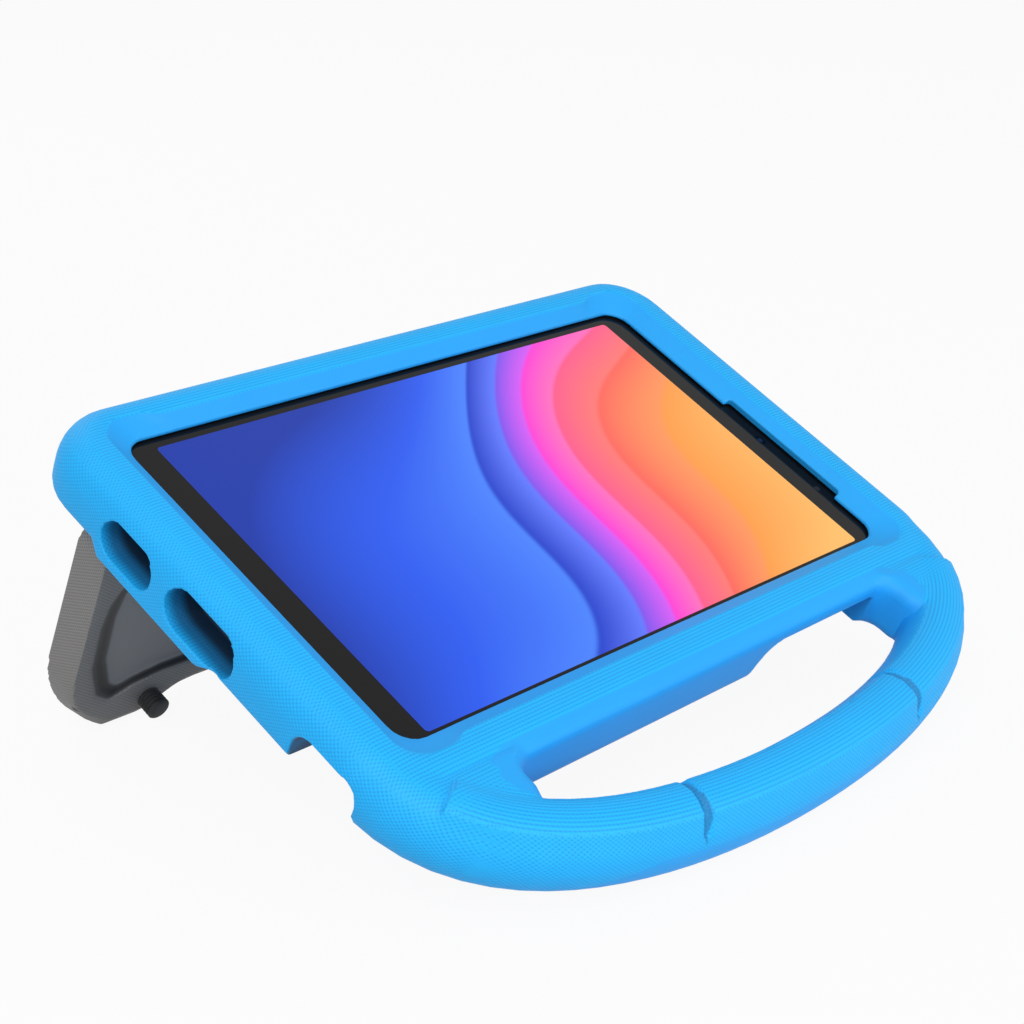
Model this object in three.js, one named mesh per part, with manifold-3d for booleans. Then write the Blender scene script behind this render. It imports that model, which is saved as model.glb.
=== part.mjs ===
// Kids tablet case: a one-piece foam shell with a carrying handle, a fold-out stand, and the tablet in it.
// Millimetres. The case is drawn flat, with X along the long side, Y towards the back and Z out of the
// screen, and the whole of it then leans back on the handle and the stand's two feet.

import * as THREE from 'three';
import Module from 'manifold-3d';
import { mergeVertices } from 'three/addons/utils/BufferGeometryUtils.js';

const wasm = await Module();
wasm.setup();

// Clearances
const FIT = 0.3;
const RUNNING_FIT = 0.6;
const CUT_PAST = 2;

// Tablet
const TABLET_LENGTH = 201.5;
const TABLET_WIDTH = 122.4;
const TABLET_THICKNESS = 8;
const TABLET_CORNER = 9;
const TABLET_EDGE_ROUND = 2.4;
const GLASS_THICKNESS = 1;
const GLASS_INSET = 0.4;
const COVER_WALL = 1.6;
const COVER_FLOOR = 1;
const BEZEL_END = 12.75;
const BEZEL_SIDE = 5.7;
const DISPLAY_THICKNESS = 1.2;
const FRAME_THICKNESS = 0.6;
const BATTERY_END_ROOM = 57.5;
const BATTERY_SIDE_ROOM = 17.6;
const BOARD_WIDTH = 22;
const BOARD_THICKNESS = 1;

// Tablet fittings
const USB_WIDTH = 9;
const USB_HEIGHT = 3;
const USB_DEPTH = 7;
const USB_Y = 2;
const JACK_RADIUS = 1.5;
const JACK_DEPTH = 9;
const JACK_Y = -10;
const SPEAKER_WIDTH = 15;
const SPEAKER_HEIGHT = 2.4;
const SPEAKER_DEPTH = 8;
const FRONT_SPEAKER_FROM_SIDE = 16.7;
const SPEAKER_HOLE_PITCH = 2.6;
const SPEAKER_HOLE_RADIUS = 0.7;
const FRONT_CAMERA_RADIUS = 2;
const FRONT_CAMERA_FROM_END = 7.35;
const FRONT_CAMERA_Y = -8.6;
const REAR_CAMERA_RADIUS = 4.2;
const REAR_CAMERA_GLASS_RADIUS = 5.2;
const REAR_CAMERA_GLASS_THICKNESS = 1.2;
const REAR_CAMERA_FROM_END = 14.75;
const REAR_CAMERA_FROM_SIDE = 16.2;
const BUTTON_HEIGHT = 2;
const BUTTON_PROUD = 0.7;
const BUTTON_TRAVEL = 0.4;
const BUTTON_FLANGE = 0.8;
const POWER_LENGTH = 11;
const POWER_X = 62;
const VOLUME_LENGTH = 22;
const VOLUME_X = 41;
const KEY_BOARD_THICKNESS = 0.8;
const PORT_BOARD_MARGIN = 8;

// Foam case
const END_WALL = 11;
const SIDE_WALL = 10.5;
const BACK_WALL = 4.2;
const RIM_HEIGHT = 5.2;
const CASE_CORNER = 19;
const SHOULDER_WIDTH = 8;
const SHOULDER_HEIGHT = 10;
const FRONT_BAND_DROP = 2;
const FRONT_STEP = 0.8;
const BACK_EDGE_ROUND = 2.8;
const LIP_EDGE_HEIGHT = 1.2;
const LIP_OVERLAP = { left: 5.75, right: 6.75, front: 5.7, back: 4.2, corner: 6.5 };
const LIP_BORDER_INSET = { left: 0.75, right: 1.25, front: 1.2, back: 0.9, corner: 8 };
const LIP_BORDER_DEPTH = 0.5;
const LOBE_REACH = 2.1;
const LOBE_LENGTH = 15;
const LOBE_EASE = 5;
const LIP_RECESS = { front: -38, back: 8, reach: 2.6, depth: 2.4 };
const RIDGE_FRONT = -2;
const RIDGE_BACK = 38;
const RIDGE_HEIGHT = 2.5;
const RIDGE_SLOPE = 3.5;
const RIDGE_FRONT_SLOPE = 7;
const RIDGE_END_ROUND = 1;
const RIDGE_END_STEP = 0.1;

// Openings in the foam
const SPEAKER_HOLE_Y = 28.4;
const SPEAKER_HOLE_LENGTH = 20.4;
const SPEAKER_HOLE_BOTTOM = -11.7;
const SPEAKER_HOLE_TOP = -0.8;
const USB_HOLE_Y = -1.15;
const USB_HOLE_LENGTH = 26.7;
const USB_HOLE_BOTTOM = -11.7;
const USB_HOLE_TOP = 0.1;
const CORNER_NOTCH = { roomFront: 12.5, roomBack: 7, top: -2.6, round: 5, flare: 3.2 };
const BUTTON_NOTCH = { roomLeft: 9.5, roomRight: 4.5, top: -1.5, slope: 8 };
const CAMERA_HOLE_RADIUS = 7;
const CAMERA_HOLE_FLARE = 3;

// Handle
const HANDLE_HALF_WIDTH = 8.9;
const HANDLE_HALF_HEIGHT = 10.6;
const HANDLE_HEIGHT = -5.6;
const HANDLE_SQUARENESS = 2.15;
const HANDLE_REACH = 105;
const HANDLE_END_X = 102.6;
const HANDLE_END_Y = -58;
const HANDLE_SHOULDER_X = 99.5;
const HANDLE_SHOULDER_Y = -93.5;
const HANDLE_FRONT_SPAN = 50.3;
const LOOP_END_X = 75.5;
const LOOP_CORNER = 5;
const WEB_LENGTH = 24;
const WEB_REACH = 13.5;
const PAD_HALF_WIDTH = 5.5;
const PAD_RISE = 1.35;
const PAD_BEVEL = 1.2;
const PAD_CROWN = 1.7;
const PAD_START_Y = -73;
const GROOVE_X = 43.5;
const GROOVE_RADIUS = 1.5;
const GROOVE_SPAN = 140;

// Stand
const STAND_FRONT_Y = 39;
const STAND_THICKNESS = 12;
const STAND_HALF_LENGTH = 107;
const STAND_TOP_CORNER = 6;
const STAND_CORNER_START_Z = -62;
const FOOT_OUTER_X = 91;
const FOOT_INNER_X = 80;
const ARCH_START_X = 62;
const ARCH_RISE = 6.5;
const TOE_BEVEL_DEPTH = 2.2;
const TOE_BEVEL_HEIGHT = 4;
const RECESS_DEPTH = 3;
const RECESS_MARGIN = 3.2;
const RECESS_RAMP = 9;
const RECESS_TOP_Z = -31;
const RECESS_BOTTOM_Z = -71;

// Hinge of the stand
const PIVOT_RADIUS = 6;
const PIN_RADIUS = 1.5;
const PIN_HALF_LENGTH = 72;
const BRACKET_THICKNESS = 2.5;
const BRACKET_HALF_LENGTH = 94;
const BRACKET_BACK_Y = 59;
const LUG_WIDTH = 10;
const LUG_RADIUS = 4.8;
const LUG_X = [-66, 0, 66];
const SCREW_X = [-84, -33, 33, 84];
const SCREW_Y = 54.5;
const SCREW_RADIUS = 1.5;
const SCREW_HEAD_RADIUS = 3;
const SCREW_HEAD_HEIGHT = 1.6;
const ANCHOR_THICKNESS = 1.2;
const ANCHOR_HALF_WIDTH = 4.5;
const ANCHOR_HALF_LENGTH = 90;

// Latch peg of the stand
const PEG_X = -79;
const PEG_Z = -79.5;
const PEG_RADIUS = 3.4;
const PEG_REACH = 6;
const PEG_STEM_RADIUS = 2.2;
const PEG_STEM_DEPTH = 6;
const PEG_SOCKET_DEPTH = 3.2;
const PEG_SWING_FIT = 1;

// Fineness of round shapes
const CORNER_STEPS = 8;
const ROUND_STEPS = 24;
const SHOULDER_STEPS = 6;
const HANDLE_STEPS = 40;
const HANDLE_SECTION_STEPS = 24;

// Heights and places that follow from the sizes above
const POCKET_FLOOR = -TABLET_THICKNESS - FIT;
const BACK_FACE = POCKET_FLOOR - BACK_WALL;
const RIDGE_FACE = BACK_FACE - RIDGE_HEIGHT;
const CASE_HALF_LENGTH = TABLET_LENGTH / 2 + FIT + END_WALL;
const CASE_HALF_WIDTH = TABLET_WIDTH / 2 + FIT + SIDE_WALL;
const SHOULDER_FOOT = RIM_HEIGHT - SHOULDER_HEIGHT;
const PAD_TOP = HANDLE_HEIGHT + HANDLE_HALF_HEIGHT + PAD_RISE;
const withinTablet = ({ left, right, front, back, corner }) => ({
  left: left - TABLET_LENGTH / 2,
  right: TABLET_LENGTH / 2 - right,
  front: front - TABLET_WIDTH / 2,
  back: TABLET_WIDTH / 2 - back,
  corner,
});
const LIP_OPENING = withinTablet(LIP_OVERLAP);
const LIP_BORDER = withinTablet(LIP_BORDER_INSET);
const FRONT_CAMERA_X = TABLET_LENGTH / 2 - FRONT_CAMERA_FROM_END;
const REAR_CAMERA_X = TABLET_LENGTH / 2 - REAR_CAMERA_FROM_END;
const REAR_CAMERA_Y = REAR_CAMERA_FROM_SIDE - TABLET_WIDTH / 2;
const FRONT_SPEAKER_Y = FRONT_SPEAKER_FROM_SIDE - TABLET_WIDTH / 2;
const DISPLAY_TOP = -GLASS_THICKNESS - FIT;
const DISPLAY_BOTTOM = DISPLAY_TOP - DISPLAY_THICKNESS;
const FRAME_TOP = DISPLAY_BOTTOM - FIT;
const FRAME_BOTTOM = FRAME_TOP - FRAME_THICKNESS;
const COVER_INSIDE = -TABLET_THICKNESS + COVER_FLOOR;
const INSIDE_HALF_LENGTH = TABLET_LENGTH / 2 - COVER_WALL;
const INSIDE_HALF_WIDTH = TABLET_WIDTH / 2 - COVER_WALL;
const PORT_HEIGHT = (FRAME_BOTTOM + COVER_INSIDE) / 2;
const BRACKET_TOP = BACK_FACE - FIT;
const BRACKET_FACE = BRACKET_TOP - BRACKET_THICKNESS;
const BRACKET_FRONT_Y = RIDGE_BACK + RIDGE_SLOPE + FIT;
const PIVOT_Y = STAND_FRONT_Y + PIVOT_RADIUS;
const PIVOT_Z = BRACKET_FACE - FIT - PIVOT_RADIUS;
const ANCHOR_TOP = POCKET_FLOOR - FIT;
const ANCHOR_BOTTOM = ANCHOR_TOP - ANCHOR_THICKNESS;

// The case leans so that the lowest line of the handle and the flat feet of the stand share one level
const LEAN = THREE.MathUtils.degToRad(25.7);
const roundness = HANDLE_SQUARENESS / (HANDLE_SQUARENESS - 1);
const HANDLE_DROP = ((HANDLE_HALF_WIDTH * Math.sin(LEAN)) ** roundness
  + (HANDLE_HALF_HEIGHT * Math.cos(LEAN)) ** roundness) ** (1 / roundness);
const GROUND = HANDLE_HEIGHT * Math.cos(LEAN) - HANDLE_REACH * Math.sin(LEAN) - HANDLE_DROP;
const groundZ = (y) => (GROUND - y * Math.sin(LEAN)) / Math.cos(LEAN);
const TOE_Y = STAND_FRONT_Y + TOE_BEVEL_DEPTH;
const STAND_BACK_Y = STAND_FRONT_Y + STAND_THICKNESS;
const ARCH_Z = groundZ(TOE_Y) + ARCH_RISE;

// Finishes
function finish(color, roughness, metalness = 0) {
  return new THREE.MeshStandardMaterial({ color, roughness, metalness });
}

const blueFoam = finish(0x2ea8f5, 0.75);
const greyPlastic = finish(0x5c5c5c, 0.65);
const blackRubber = finish(0x1e2222, 0.8);
const steel = finish(0xb9bcc0, 0.35, 1);
const glass = finish(0x101012, 0.08);
const screen = finish(0x2f6df0, 0.3);
const darkPlastic = finish(0x2a2b2e, 0.5);
const alloy = finish(0xa9adb2, 0.4, 1);
const foil = finish(0x8d9196, 0.55);
const boardGreen = finish(0x1f5a3c, 0.6);

// Shape helpers

function manifold(geometry) {
  const bare = geometry.clone();
  bare.deleteAttribute('normal');
  bare.deleteAttribute('uv');
  const merged = mergeVertices(bare, 1e-4);
  const vertProperties = new Float32Array(merged.attributes.position.array);
  const triVerts = new Uint32Array(merged.index.array);
  return new wasm.Manifold(new wasm.Mesh({ numProp: 3, vertProperties, triVerts }));
}

function geometryOf(solid) {
  const result = solid.getMesh();
  const geometry = new THREE.BufferGeometry();
  geometry.setAttribute('position', new THREE.BufferAttribute(new Float32Array(result.vertProperties), 3));
  geometry.setIndex(new THREE.BufferAttribute(new Uint32Array(result.triVerts), 1));
  geometry.computeVertexNormals();
  return geometry;
}

const cutAll = (solid, shapes) => shapes.reduce((rest, shape) => rest.subtract(manifold(shape)), solid);
const joinAll = (solid, shapes) => shapes.reduce((sum, shape) => sum.add(manifold(shape)), solid);

function piece(name, shape, material) {
  const mesh = new THREE.Mesh(shape.isBufferGeometry ? shape : geometryOf(shape), material);
  mesh.name = name;
  return mesh;
}

const vec = (x, y) => new THREE.Vector2(x, y);
const centred = (halfX, halfY, corner) => {
  return { left: -halfX, right: halfX, front: -halfY, back: halfY, corner };
};
const mirrored = (outline) => outline.map((p) => vec(-p.x, p.y)).reverse();

function arc(centreX, centreY, radius, fromDegrees, toDegrees, steps) {
  return Array.from({ length: steps + 1 }, (_, i) => {
    const angle = THREE.MathUtils.degToRad(THREE.MathUtils.lerp(fromDegrees, toDegrees, i / steps));
    return vec(centreX + radius * Math.cos(angle), centreY + radius * Math.sin(angle));
  });
}

// A rounded rectangle between four sides, counter-clockwise from its right side
function roundedOutline({ left, right, front, back, corner }, inset = 0, steps = CORNER_STEPS) {
  const radius = Math.max(corner - inset, 0.2);
  const step = inset + radius;
  return [
    ...arc(right - step, back - step, radius, 0, 90, steps),
    ...arc(left + step, back - step, radius, 90, 180, steps),
    ...arc(left + step, front + step, radius, 180, 270, steps),
    ...arc(right - step, front + step, radius, 270, 360, steps),
  ];
}

// Moves each point of a counter-clockwise outline inwards
function insetOutline(outline, inset) {
  return outline.map((point, i) => {
    const before = point.clone().sub(outline.at(i - 1)).normalize();
    const after = outline[(i + 1) % outline.length].clone().sub(point).normalize();
    const inward = vec(-before.y - after.y, before.x + after.x).normalize();
    const spread = Math.max(Math.sqrt((1 + before.dot(after)) / 2), 0.5);
    return point.clone().addScaledVector(inward, inset / spread);
  });
}

// The faces over one end ring of a loft, with a middle point where the outline is simple enough for a fan
function capFaces(ring, first, points, turned) {
  const spread = new THREE.Box3().setFromPoints(ring).getSize(new THREE.Vector3());
  const axes = ['x', 'y', 'z'].filter((axis) => spread[axis] > Math.min(spread.x, spread.y, spread.z));
  const [across, up] = axes.length === 2 ? axes : ['x', 'y'];
  const flat = ring.map((p) => vec(p[across], p[up]));
  const triangles = THREE.ShapeUtils.triangulateShape(flat, []);
  if (triangles.length === ring.length - 2) {
    const kept = THREE.ShapeUtils.area(flat) > 0 !== turned;
    const ordered = triangles.map((face) => (kept ? face : face.toReversed()));
    return ordered.flat().map((corner) => first + corner);
  }
  const centre = ring.reduce((sum, p) => sum.add(p), new THREE.Vector3()).divideScalar(ring.length);
  const hub = points.push(centre) - 1;
  return ring.flatMap((_, i) => {
    const next = (i + 1) % ring.length;
    return turned ? [hub, first + next, first + i] : [hub, first + i, first + next];
  });
}

function signedVolume(points, faces) {
  let total = 0;
  for (let i = 0; i < faces.length; i += 3) {
    const [a, b, c] = [points[faces[i]], points[faces[i + 1]], points[faces[i + 2]]];
    total += a.dot(b.clone().cross(c));
  }
  return total / 6;
}

// A closed solid through rings of equally many points
function loft(rings) {
  const count = rings[0].length;
  const points = rings.flat();
  const faces = [];
  for (let level = 0; level < rings.length - 1; level += 1) {
    for (let i = 0; i < count; i += 1) {
      const a = level * count + i;
      const b = level * count + (i + 1) % count;
      faces.push(a, b, b + count, a, b + count, a + count);
    }
  }
  faces.push(...capFaces(rings[0], 0, points, true));
  faces.push(...capFaces(rings.at(-1), (rings.length - 1) * count, points, false));
  if (signedVolume(points, faces) < 0) {
    faces.reverse();
  }
  return new THREE.BufferGeometry().setFromPoints(points).setIndex(faces);
}

const ringAtX = (outline, x) => outline.map((p) => new THREE.Vector3(x, p.x, p.y));
const ringAtY = (outline, y) => outline.map((p) => new THREE.Vector3(p.x, y, p.y));
const ringAtZ = (outline, z) => outline.map((p) => new THREE.Vector3(p.x, p.y, z));
const plate = (outline, bottom, top) => loft([ringAtZ(outline, bottom), ringAtZ(outline, top)]);

function box(x0, x1, y0, y1, z0, z1) {
  const block = new THREE.BoxGeometry(x1 - x0, y1 - y0, z1 - z0);
  return block.translate((x0 + x1) / 2, (y0 + y1) / 2, (z0 + z1) / 2);
}

function rodAlongX(x0, x1, y, z, radius, steps = ROUND_STEPS) {
  const rod = new THREE.CylinderGeometry(radius, radius, x1 - x0, steps);
  return rod.rotateZ(Math.PI / 2).translate((x0 + x1) / 2, y, z);
}

function rodAlongY(y0, y1, x, z, radius, steps = ROUND_STEPS) {
  return new THREE.CylinderGeometry(radius, radius, y1 - y0, steps).translate(x, (y0 + y1) / 2, z);
}

function rodAlongZ(z0, z1, x, y, radius, topRadius = radius, steps = ROUND_STEPS) {
  const rod = new THREE.CylinderGeometry(topRadius, radius, z1 - z0, steps);
  return rod.rotateX(Math.PI / 2).translate(x, y, (z0 + z1) / 2);
}

// Foam shell: rounded at the ends and the back, with a flat shoulder band above a steep wall at the front
function shellBody() {
  const outer = centred(CASE_HALF_LENGTH, CASE_HALF_WIDTH, CASE_CORNER);
  const outline = roundedOutline(outer);
  const frontShare = outline.map((_, i) => {
    const before = outline.at(i - 1);
    const after = outline[(i + 1) % outline.length];
    return THREE.MathUtils.smoothstep((after.x - before.x) / after.distanceTo(before), 0.6, 1);
  });
  const edgeProfile = [0, 30, 60, 90].map((degrees) => {
    const angle = THREE.MathUtils.degToRad(degrees);
    return vec(BACK_EDGE_ROUND * (1 - Math.sin(angle)), BACK_FACE + BACK_EDGE_ROUND * (1 - Math.cos(angle)));
  });
  const roundProfile = Array.from({ length: SHOULDER_STEPS + 1 }, (_, i) => {
    const angle = Math.PI / 2 * i / SHOULDER_STEPS;
    return vec(SHOULDER_WIDTH * (1 - Math.cos(angle)), SHOULDER_FOOT + SHOULDER_HEIGHT * Math.sin(angle));
  });
  const frontProfile = [
    vec(0, SHOULDER_FOOT),
    vec(0, RIM_HEIGHT - FRONT_BAND_DROP * 2.5),
    vec(0, RIM_HEIGHT - FRONT_BAND_DROP * 1.6),
    vec(FRONT_STEP, RIM_HEIGHT - FRONT_BAND_DROP),
    vec(SHOULDER_WIDTH * 0.45, RIM_HEIGHT - FRONT_BAND_DROP * 0.4),
    vec(SHOULDER_WIDTH * 0.7, RIM_HEIGHT - FRONT_BAND_DROP * 0.08),
    vec(SHOULDER_WIDTH, RIM_HEIGHT),
  ];
  const ring = (round, front) => {
    const insetRound = roundedOutline(outer, round.x);
    const insetFront = roundedOutline(outer, front.x);
    return insetRound.map((p, i) => {
      const { x, y } = p.lerp(insetFront[i], frontShare[i]);
      return new THREE.Vector3(x, y, THREE.MathUtils.lerp(round.y, front.y, frontShare[i]));
    });
  };
  return loft([
    ...edgeProfile.map((step) => ring(step, step)),
    ...roundProfile.map((step, i) => ring(step, frontProfile[i])),
  ]);
}

// The raised band across the back that the folded stand lies against, flush with both end walls
function backRidge() {
  const half = CASE_HALF_LENGTH - RIDGE_END_STEP;
  const ring = (y, rise) => {
    const area = {
      left: -half,
      right: half,
      front: THREE.MathUtils.lerp(RIDGE_FACE, BACK_FACE, rise),
      back: BACK_FACE + 2 * BACK_EDGE_ROUND,
      corner: THREE.MathUtils.lerp(RIDGE_END_ROUND, BACK_EDGE_ROUND, rise),
    };
    return ringAtY(roundedOutline(area, 0, 4), y);
  };
  const frontSlope = [1, 0.75, 0.5, 0.25, 0].map((share) => {
    return ring(RIDGE_FRONT - RIDGE_FRONT_SLOPE * share, THREE.MathUtils.smoothstep(share, 0, 1));
  });
  return loft([...frontSlope, ring(RIDGE_BACK, 0), ring(RIDGE_BACK + RIDGE_SLOPE, 1)]);
}

// The smooth border round the screen: straight sides, and a rounded lobe that eases out at each corner
function borderOutline({ left, right, front, back, corner }, lobe) {
  const template = [
    vec(0, -LOBE_LENGTH - 2),
    ...arc(corner, lobe - corner, corner, 180, 90, 5),
    vec(LOBE_LENGTH - LOBE_EASE / 2, lobe),
    vec(LOBE_LENGTH - LOBE_EASE / 6, lobe * 0.9),
    vec(LOBE_LENGTH + LOBE_EASE / 6, lobe * 0.5),
    vec(LOBE_LENGTH + LOBE_EASE / 2, lobe * 0.1),
    vec(LOBE_LENGTH + LOBE_EASE, 0),
  ];
  const turned = (x, y, signX, signY) => {
    const points = template.map((p) => vec(x - signX * p.x, y + signY * p.y));
    return signX === signY ? points : points.reverse();
  };
  return [
    ...turned(right, back, 1, 1),
    ...turned(left, back, -1, 1),
    ...turned(left, front, -1, -1),
    ...turned(right, front, 1, -1),
  ];
}

// The space above the glass: a short upright edge, then the slope of the lip out to its border
function lipCut() {
  const opening = borderOutline(LIP_OPENING, 0);
  const border = borderOutline(LIP_BORDER, LOBE_REACH);
  return loft([
    ringAtZ(opening, POCKET_FLOOR / 2),
    ringAtZ(opening, FIT + LIP_EDGE_HEIGHT),
    ringAtZ(border, RIM_HEIGHT - LIP_BORDER_DEPTH),
    ringAtZ(border, RIM_HEIGHT + CUT_PAST),
  ]);
}

function pocketCut() {
  const outer = centred(TABLET_LENGTH / 2 + FIT, TABLET_WIDTH / 2 + FIT, TABLET_CORNER + FIT);
  return loft([
    ringAtZ(roundedOutline(outer, TABLET_EDGE_ROUND * 0.4), POCKET_FLOOR),
    ringAtZ(roundedOutline(outer), POCKET_FLOOR + TABLET_EDGE_ROUND),
    ringAtZ(roundedOutline(outer), FIT),
  ]);
}

// A hole with round ends through the wall at the left end, over the tablet's sockets
function portHole(y, length, bottom, top) {
  const corner = (top - bottom) / 2 - 0.05;
  const area = { left: y - length / 2, right: y + length / 2, front: bottom, back: top, corner };
  const ends = [-CASE_HALF_LENGTH - CUT_PAST, -TABLET_LENGTH / 2];
  return loft(ends.map((x) => ringAtX(roundedOutline(area, 0, 7), x)));
}

// A notch under the front left corner, which widens towards the outside
function cornerNotch() {
  const { roomFront, roomBack, top, round, flare } = CORNER_NOTCH;
  const area = (widen) => ({
    left: FRONT_SPEAKER_Y - roomFront - widen,
    right: FRONT_SPEAKER_Y + roomBack,
    front: BACK_FACE - 3 * round,
    back: top,
    corner: round,
  });
  return loft([
    ringAtX(roundedOutline(area(flare), 0, 5), -CASE_HALF_LENGTH - CUT_PAST),
    ringAtX(roundedOutline(area(0), 0, 5), -TABLET_LENGTH / 2),
  ]);
}

function buttonNotch() {
  const { roomLeft, roomRight, top, slope } = BUTTON_NOTCH;
  const left = VOLUME_X - VOLUME_LENGTH / 2 - roomLeft;
  const right = POWER_X + POWER_LENGTH / 2 + roomRight;
  const low = BACK_FACE - CUT_PAST;
  const bend = [vec(left + slope * 1.3, top), vec(left + slope * 0.3, top), vec(left, low)];
  const curve = new THREE.QuadraticBezierCurve(...bend);
  const outline = [vec(right, low), vec(right, top), ...curve.getPoints(6)];
  return loft([-CASE_HALF_WIDTH - CUT_PAST, -TABLET_WIDTH / 2].map((y) => ringAtY(outline, y)));
}

// Handle

const handleHalf = new THREE.CubicBezierCurve3(
  new THREE.Vector3(-HANDLE_END_X, HANDLE_END_Y, HANDLE_HEIGHT),
  new THREE.Vector3(-HANDLE_SHOULDER_X, HANDLE_SHOULDER_Y, HANDLE_HEIGHT),
  new THREE.Vector3(-HANDLE_FRONT_SPAN, -HANDLE_REACH, HANDLE_HEIGHT),
  new THREE.Vector3(0, -HANDLE_REACH, HANDLE_HEIGHT),
);

// The point and inward direction at a share of the way along the handle's centre line
function handleFrame(share) {
  const side = share <= 0.5 ? 1 : -1;
  const along = Math.min(share, 1 - share) * 2;
  const { x, y, z } = handleHalf.getPointAt(along);
  const tangent = handleHalf.getTangentAt(along);
  return { point: new THREE.Vector3(side * x, y, z), inward: vec(-tangent.y * side, tangent.x) };
}

// A section of [across, height] pairs swept along part of the handle
function sweepHandle(section, fromShare, toShare) {
  const steps = Math.max(4, Math.round(HANDLE_STEPS * (toShare - fromShare)));
  return loft(Array.from({ length: steps + 1 }, (_, k) => {
    const { point, inward } = handleFrame(THREE.MathUtils.lerp(fromShare, toShare, k / steps));
    return section.map(([across, z]) => {
      return new THREE.Vector3(point.x + inward.x * across, point.y + inward.y * across, z);
    });
  }));
}

// A point of the bar's section, a rounded oval, as [across, height]
function barPoint(angle, halfHeight) {
  const round = (value) => Math.sign(value) * Math.abs(value) ** (2 / HANDLE_SQUARENESS);
  return [HANDLE_HALF_WIDTH * round(Math.cos(angle)), HANDLE_HEIGHT + halfHeight * round(Math.sin(angle))];
}

function handleBar() {
  const section = Array.from({ length: HANDLE_SECTION_STEPS }, (_, i) => {
    return barPoint(2 * Math.PI * i / HANDLE_SECTION_STEPS, HANDLE_HALF_HEIGHT);
  });
  return sweepHandle(section, 0, 1);
}

// The grip pad: a bevelled, slightly crowned strip along the top of the bar
function gripPad() {
  const half = PAD_HALF_WIDTH;
  const section = [
    [-half - PAD_BEVEL, PAD_TOP - PAD_CROWN - 2.5 * PAD_BEVEL],
    [half + PAD_BEVEL, PAD_TOP - PAD_CROWN - 2.5 * PAD_BEVEL],
    [half, PAD_TOP - PAD_CROWN],
    [half * 0.55, PAD_TOP - PAD_CROWN * 0.3],
    [0, PAD_TOP],
    [-half * 0.55, PAD_TOP - PAD_CROWN * 0.3],
    [-half, PAD_TOP - PAD_CROWN],
  ];
  let start = 0;
  while (handleFrame(start).point.y > PAD_START_Y) {
    start += 1 / 400;
  }
  return sweepHandle(section, start, 1 - start);
}

// The web that fills the corner between the front wall and the bar at one end of the loop
function loopWeb(side) {
  const wall = -CASE_HALF_WIDTH;
  const end = LOOP_END_X;
  const right = [
    vec(end - LOOP_CORNER, wall + LOOP_CORNER),
    ...arc(end - LOOP_CORNER, wall - LOOP_CORNER, LOOP_CORNER, 90, 0, 5),
    vec(end, wall - WEB_REACH * 0.6),
    vec(end + 2, wall - WEB_REACH),
    vec(end + WEB_LENGTH * 0.4, wall - WEB_REACH),
    vec(end + WEB_LENGTH * 0.8, wall - WEB_REACH * 0.4),
    vec(end + WEB_LENGTH, wall + LOOP_CORNER),
  ];
  const outline = side > 0 ? right : mirrored(right);
  const profile = [
    vec(3, BACK_FACE),
    vec(0.8, BACK_FACE + 1.2),
    vec(0, BACK_FACE + BACK_EDGE_ROUND),
    vec(0, RIM_HEIGHT - 3.7),
    vec(0.9, RIM_HEIGHT - 1.6),
    vec(3.4, RIM_HEIGHT - 0.2),
  ];
  return loft(profile.map((step) => ringAtZ(insetOutline(outline, step.x), step.y)));
}

// A round groove straight across the top of the bar, which parts the middle pad from the side pads
function gripGroove(side) {
  const share = 0.5 + side * GROOVE_X / (2 * handleHalf.getLength());
  const { point, inward } = handleFrame(share);
  const across = new THREE.Vector3(inward.x, inward.y, 0);
  const along = new THREE.Vector3(-inward.y, inward.x, 0);
  const up = new THREE.Vector3(0, 0, 1);
  const steps = 12;
  return loft(Array.from({ length: steps + 1 }, (_, i) => {
    const angle = THREE.MathUtils.degToRad(90 + GROOVE_SPAN * (i / steps - 0.5));
    const [offset, height] = barPoint(angle, HANDLE_HALF_HEIGHT + PAD_RISE);
    const centre = point.clone().setZ(height).addScaledVector(across, offset);
    const outward = across.clone().multiplyScalar(Math.cos(angle)).addScaledVector(up, Math.sin(angle));
    return arc(0, 0, GROOVE_RADIUS, 0, 315, 7).map((p) => {
      return centre.clone().addScaledVector(along, p.x).addScaledVector(outward, p.y);
    });
  }));
}

// The shallow step under the lip at the right end
function lipRecess() {
  const { front, back, reach, depth } = LIP_RECESS;
  return box(LIP_OPENING.right - CUT_PAST, LIP_OPENING.right + reach, front, back, FIT / 2, depth);
}

// The recess in the pocket's floor that the anchor plate lies in
function anchorRecess() {
  const side = ANCHOR_HALF_WIDTH + FIT;
  const end = ANCHOR_HALF_LENGTH + FIT;
  return box(-end, end, SCREW_Y - side, SCREW_Y + side, ANCHOR_BOTTOM - FIT, POCKET_FLOOR + CUT_PAST);
}

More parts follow.
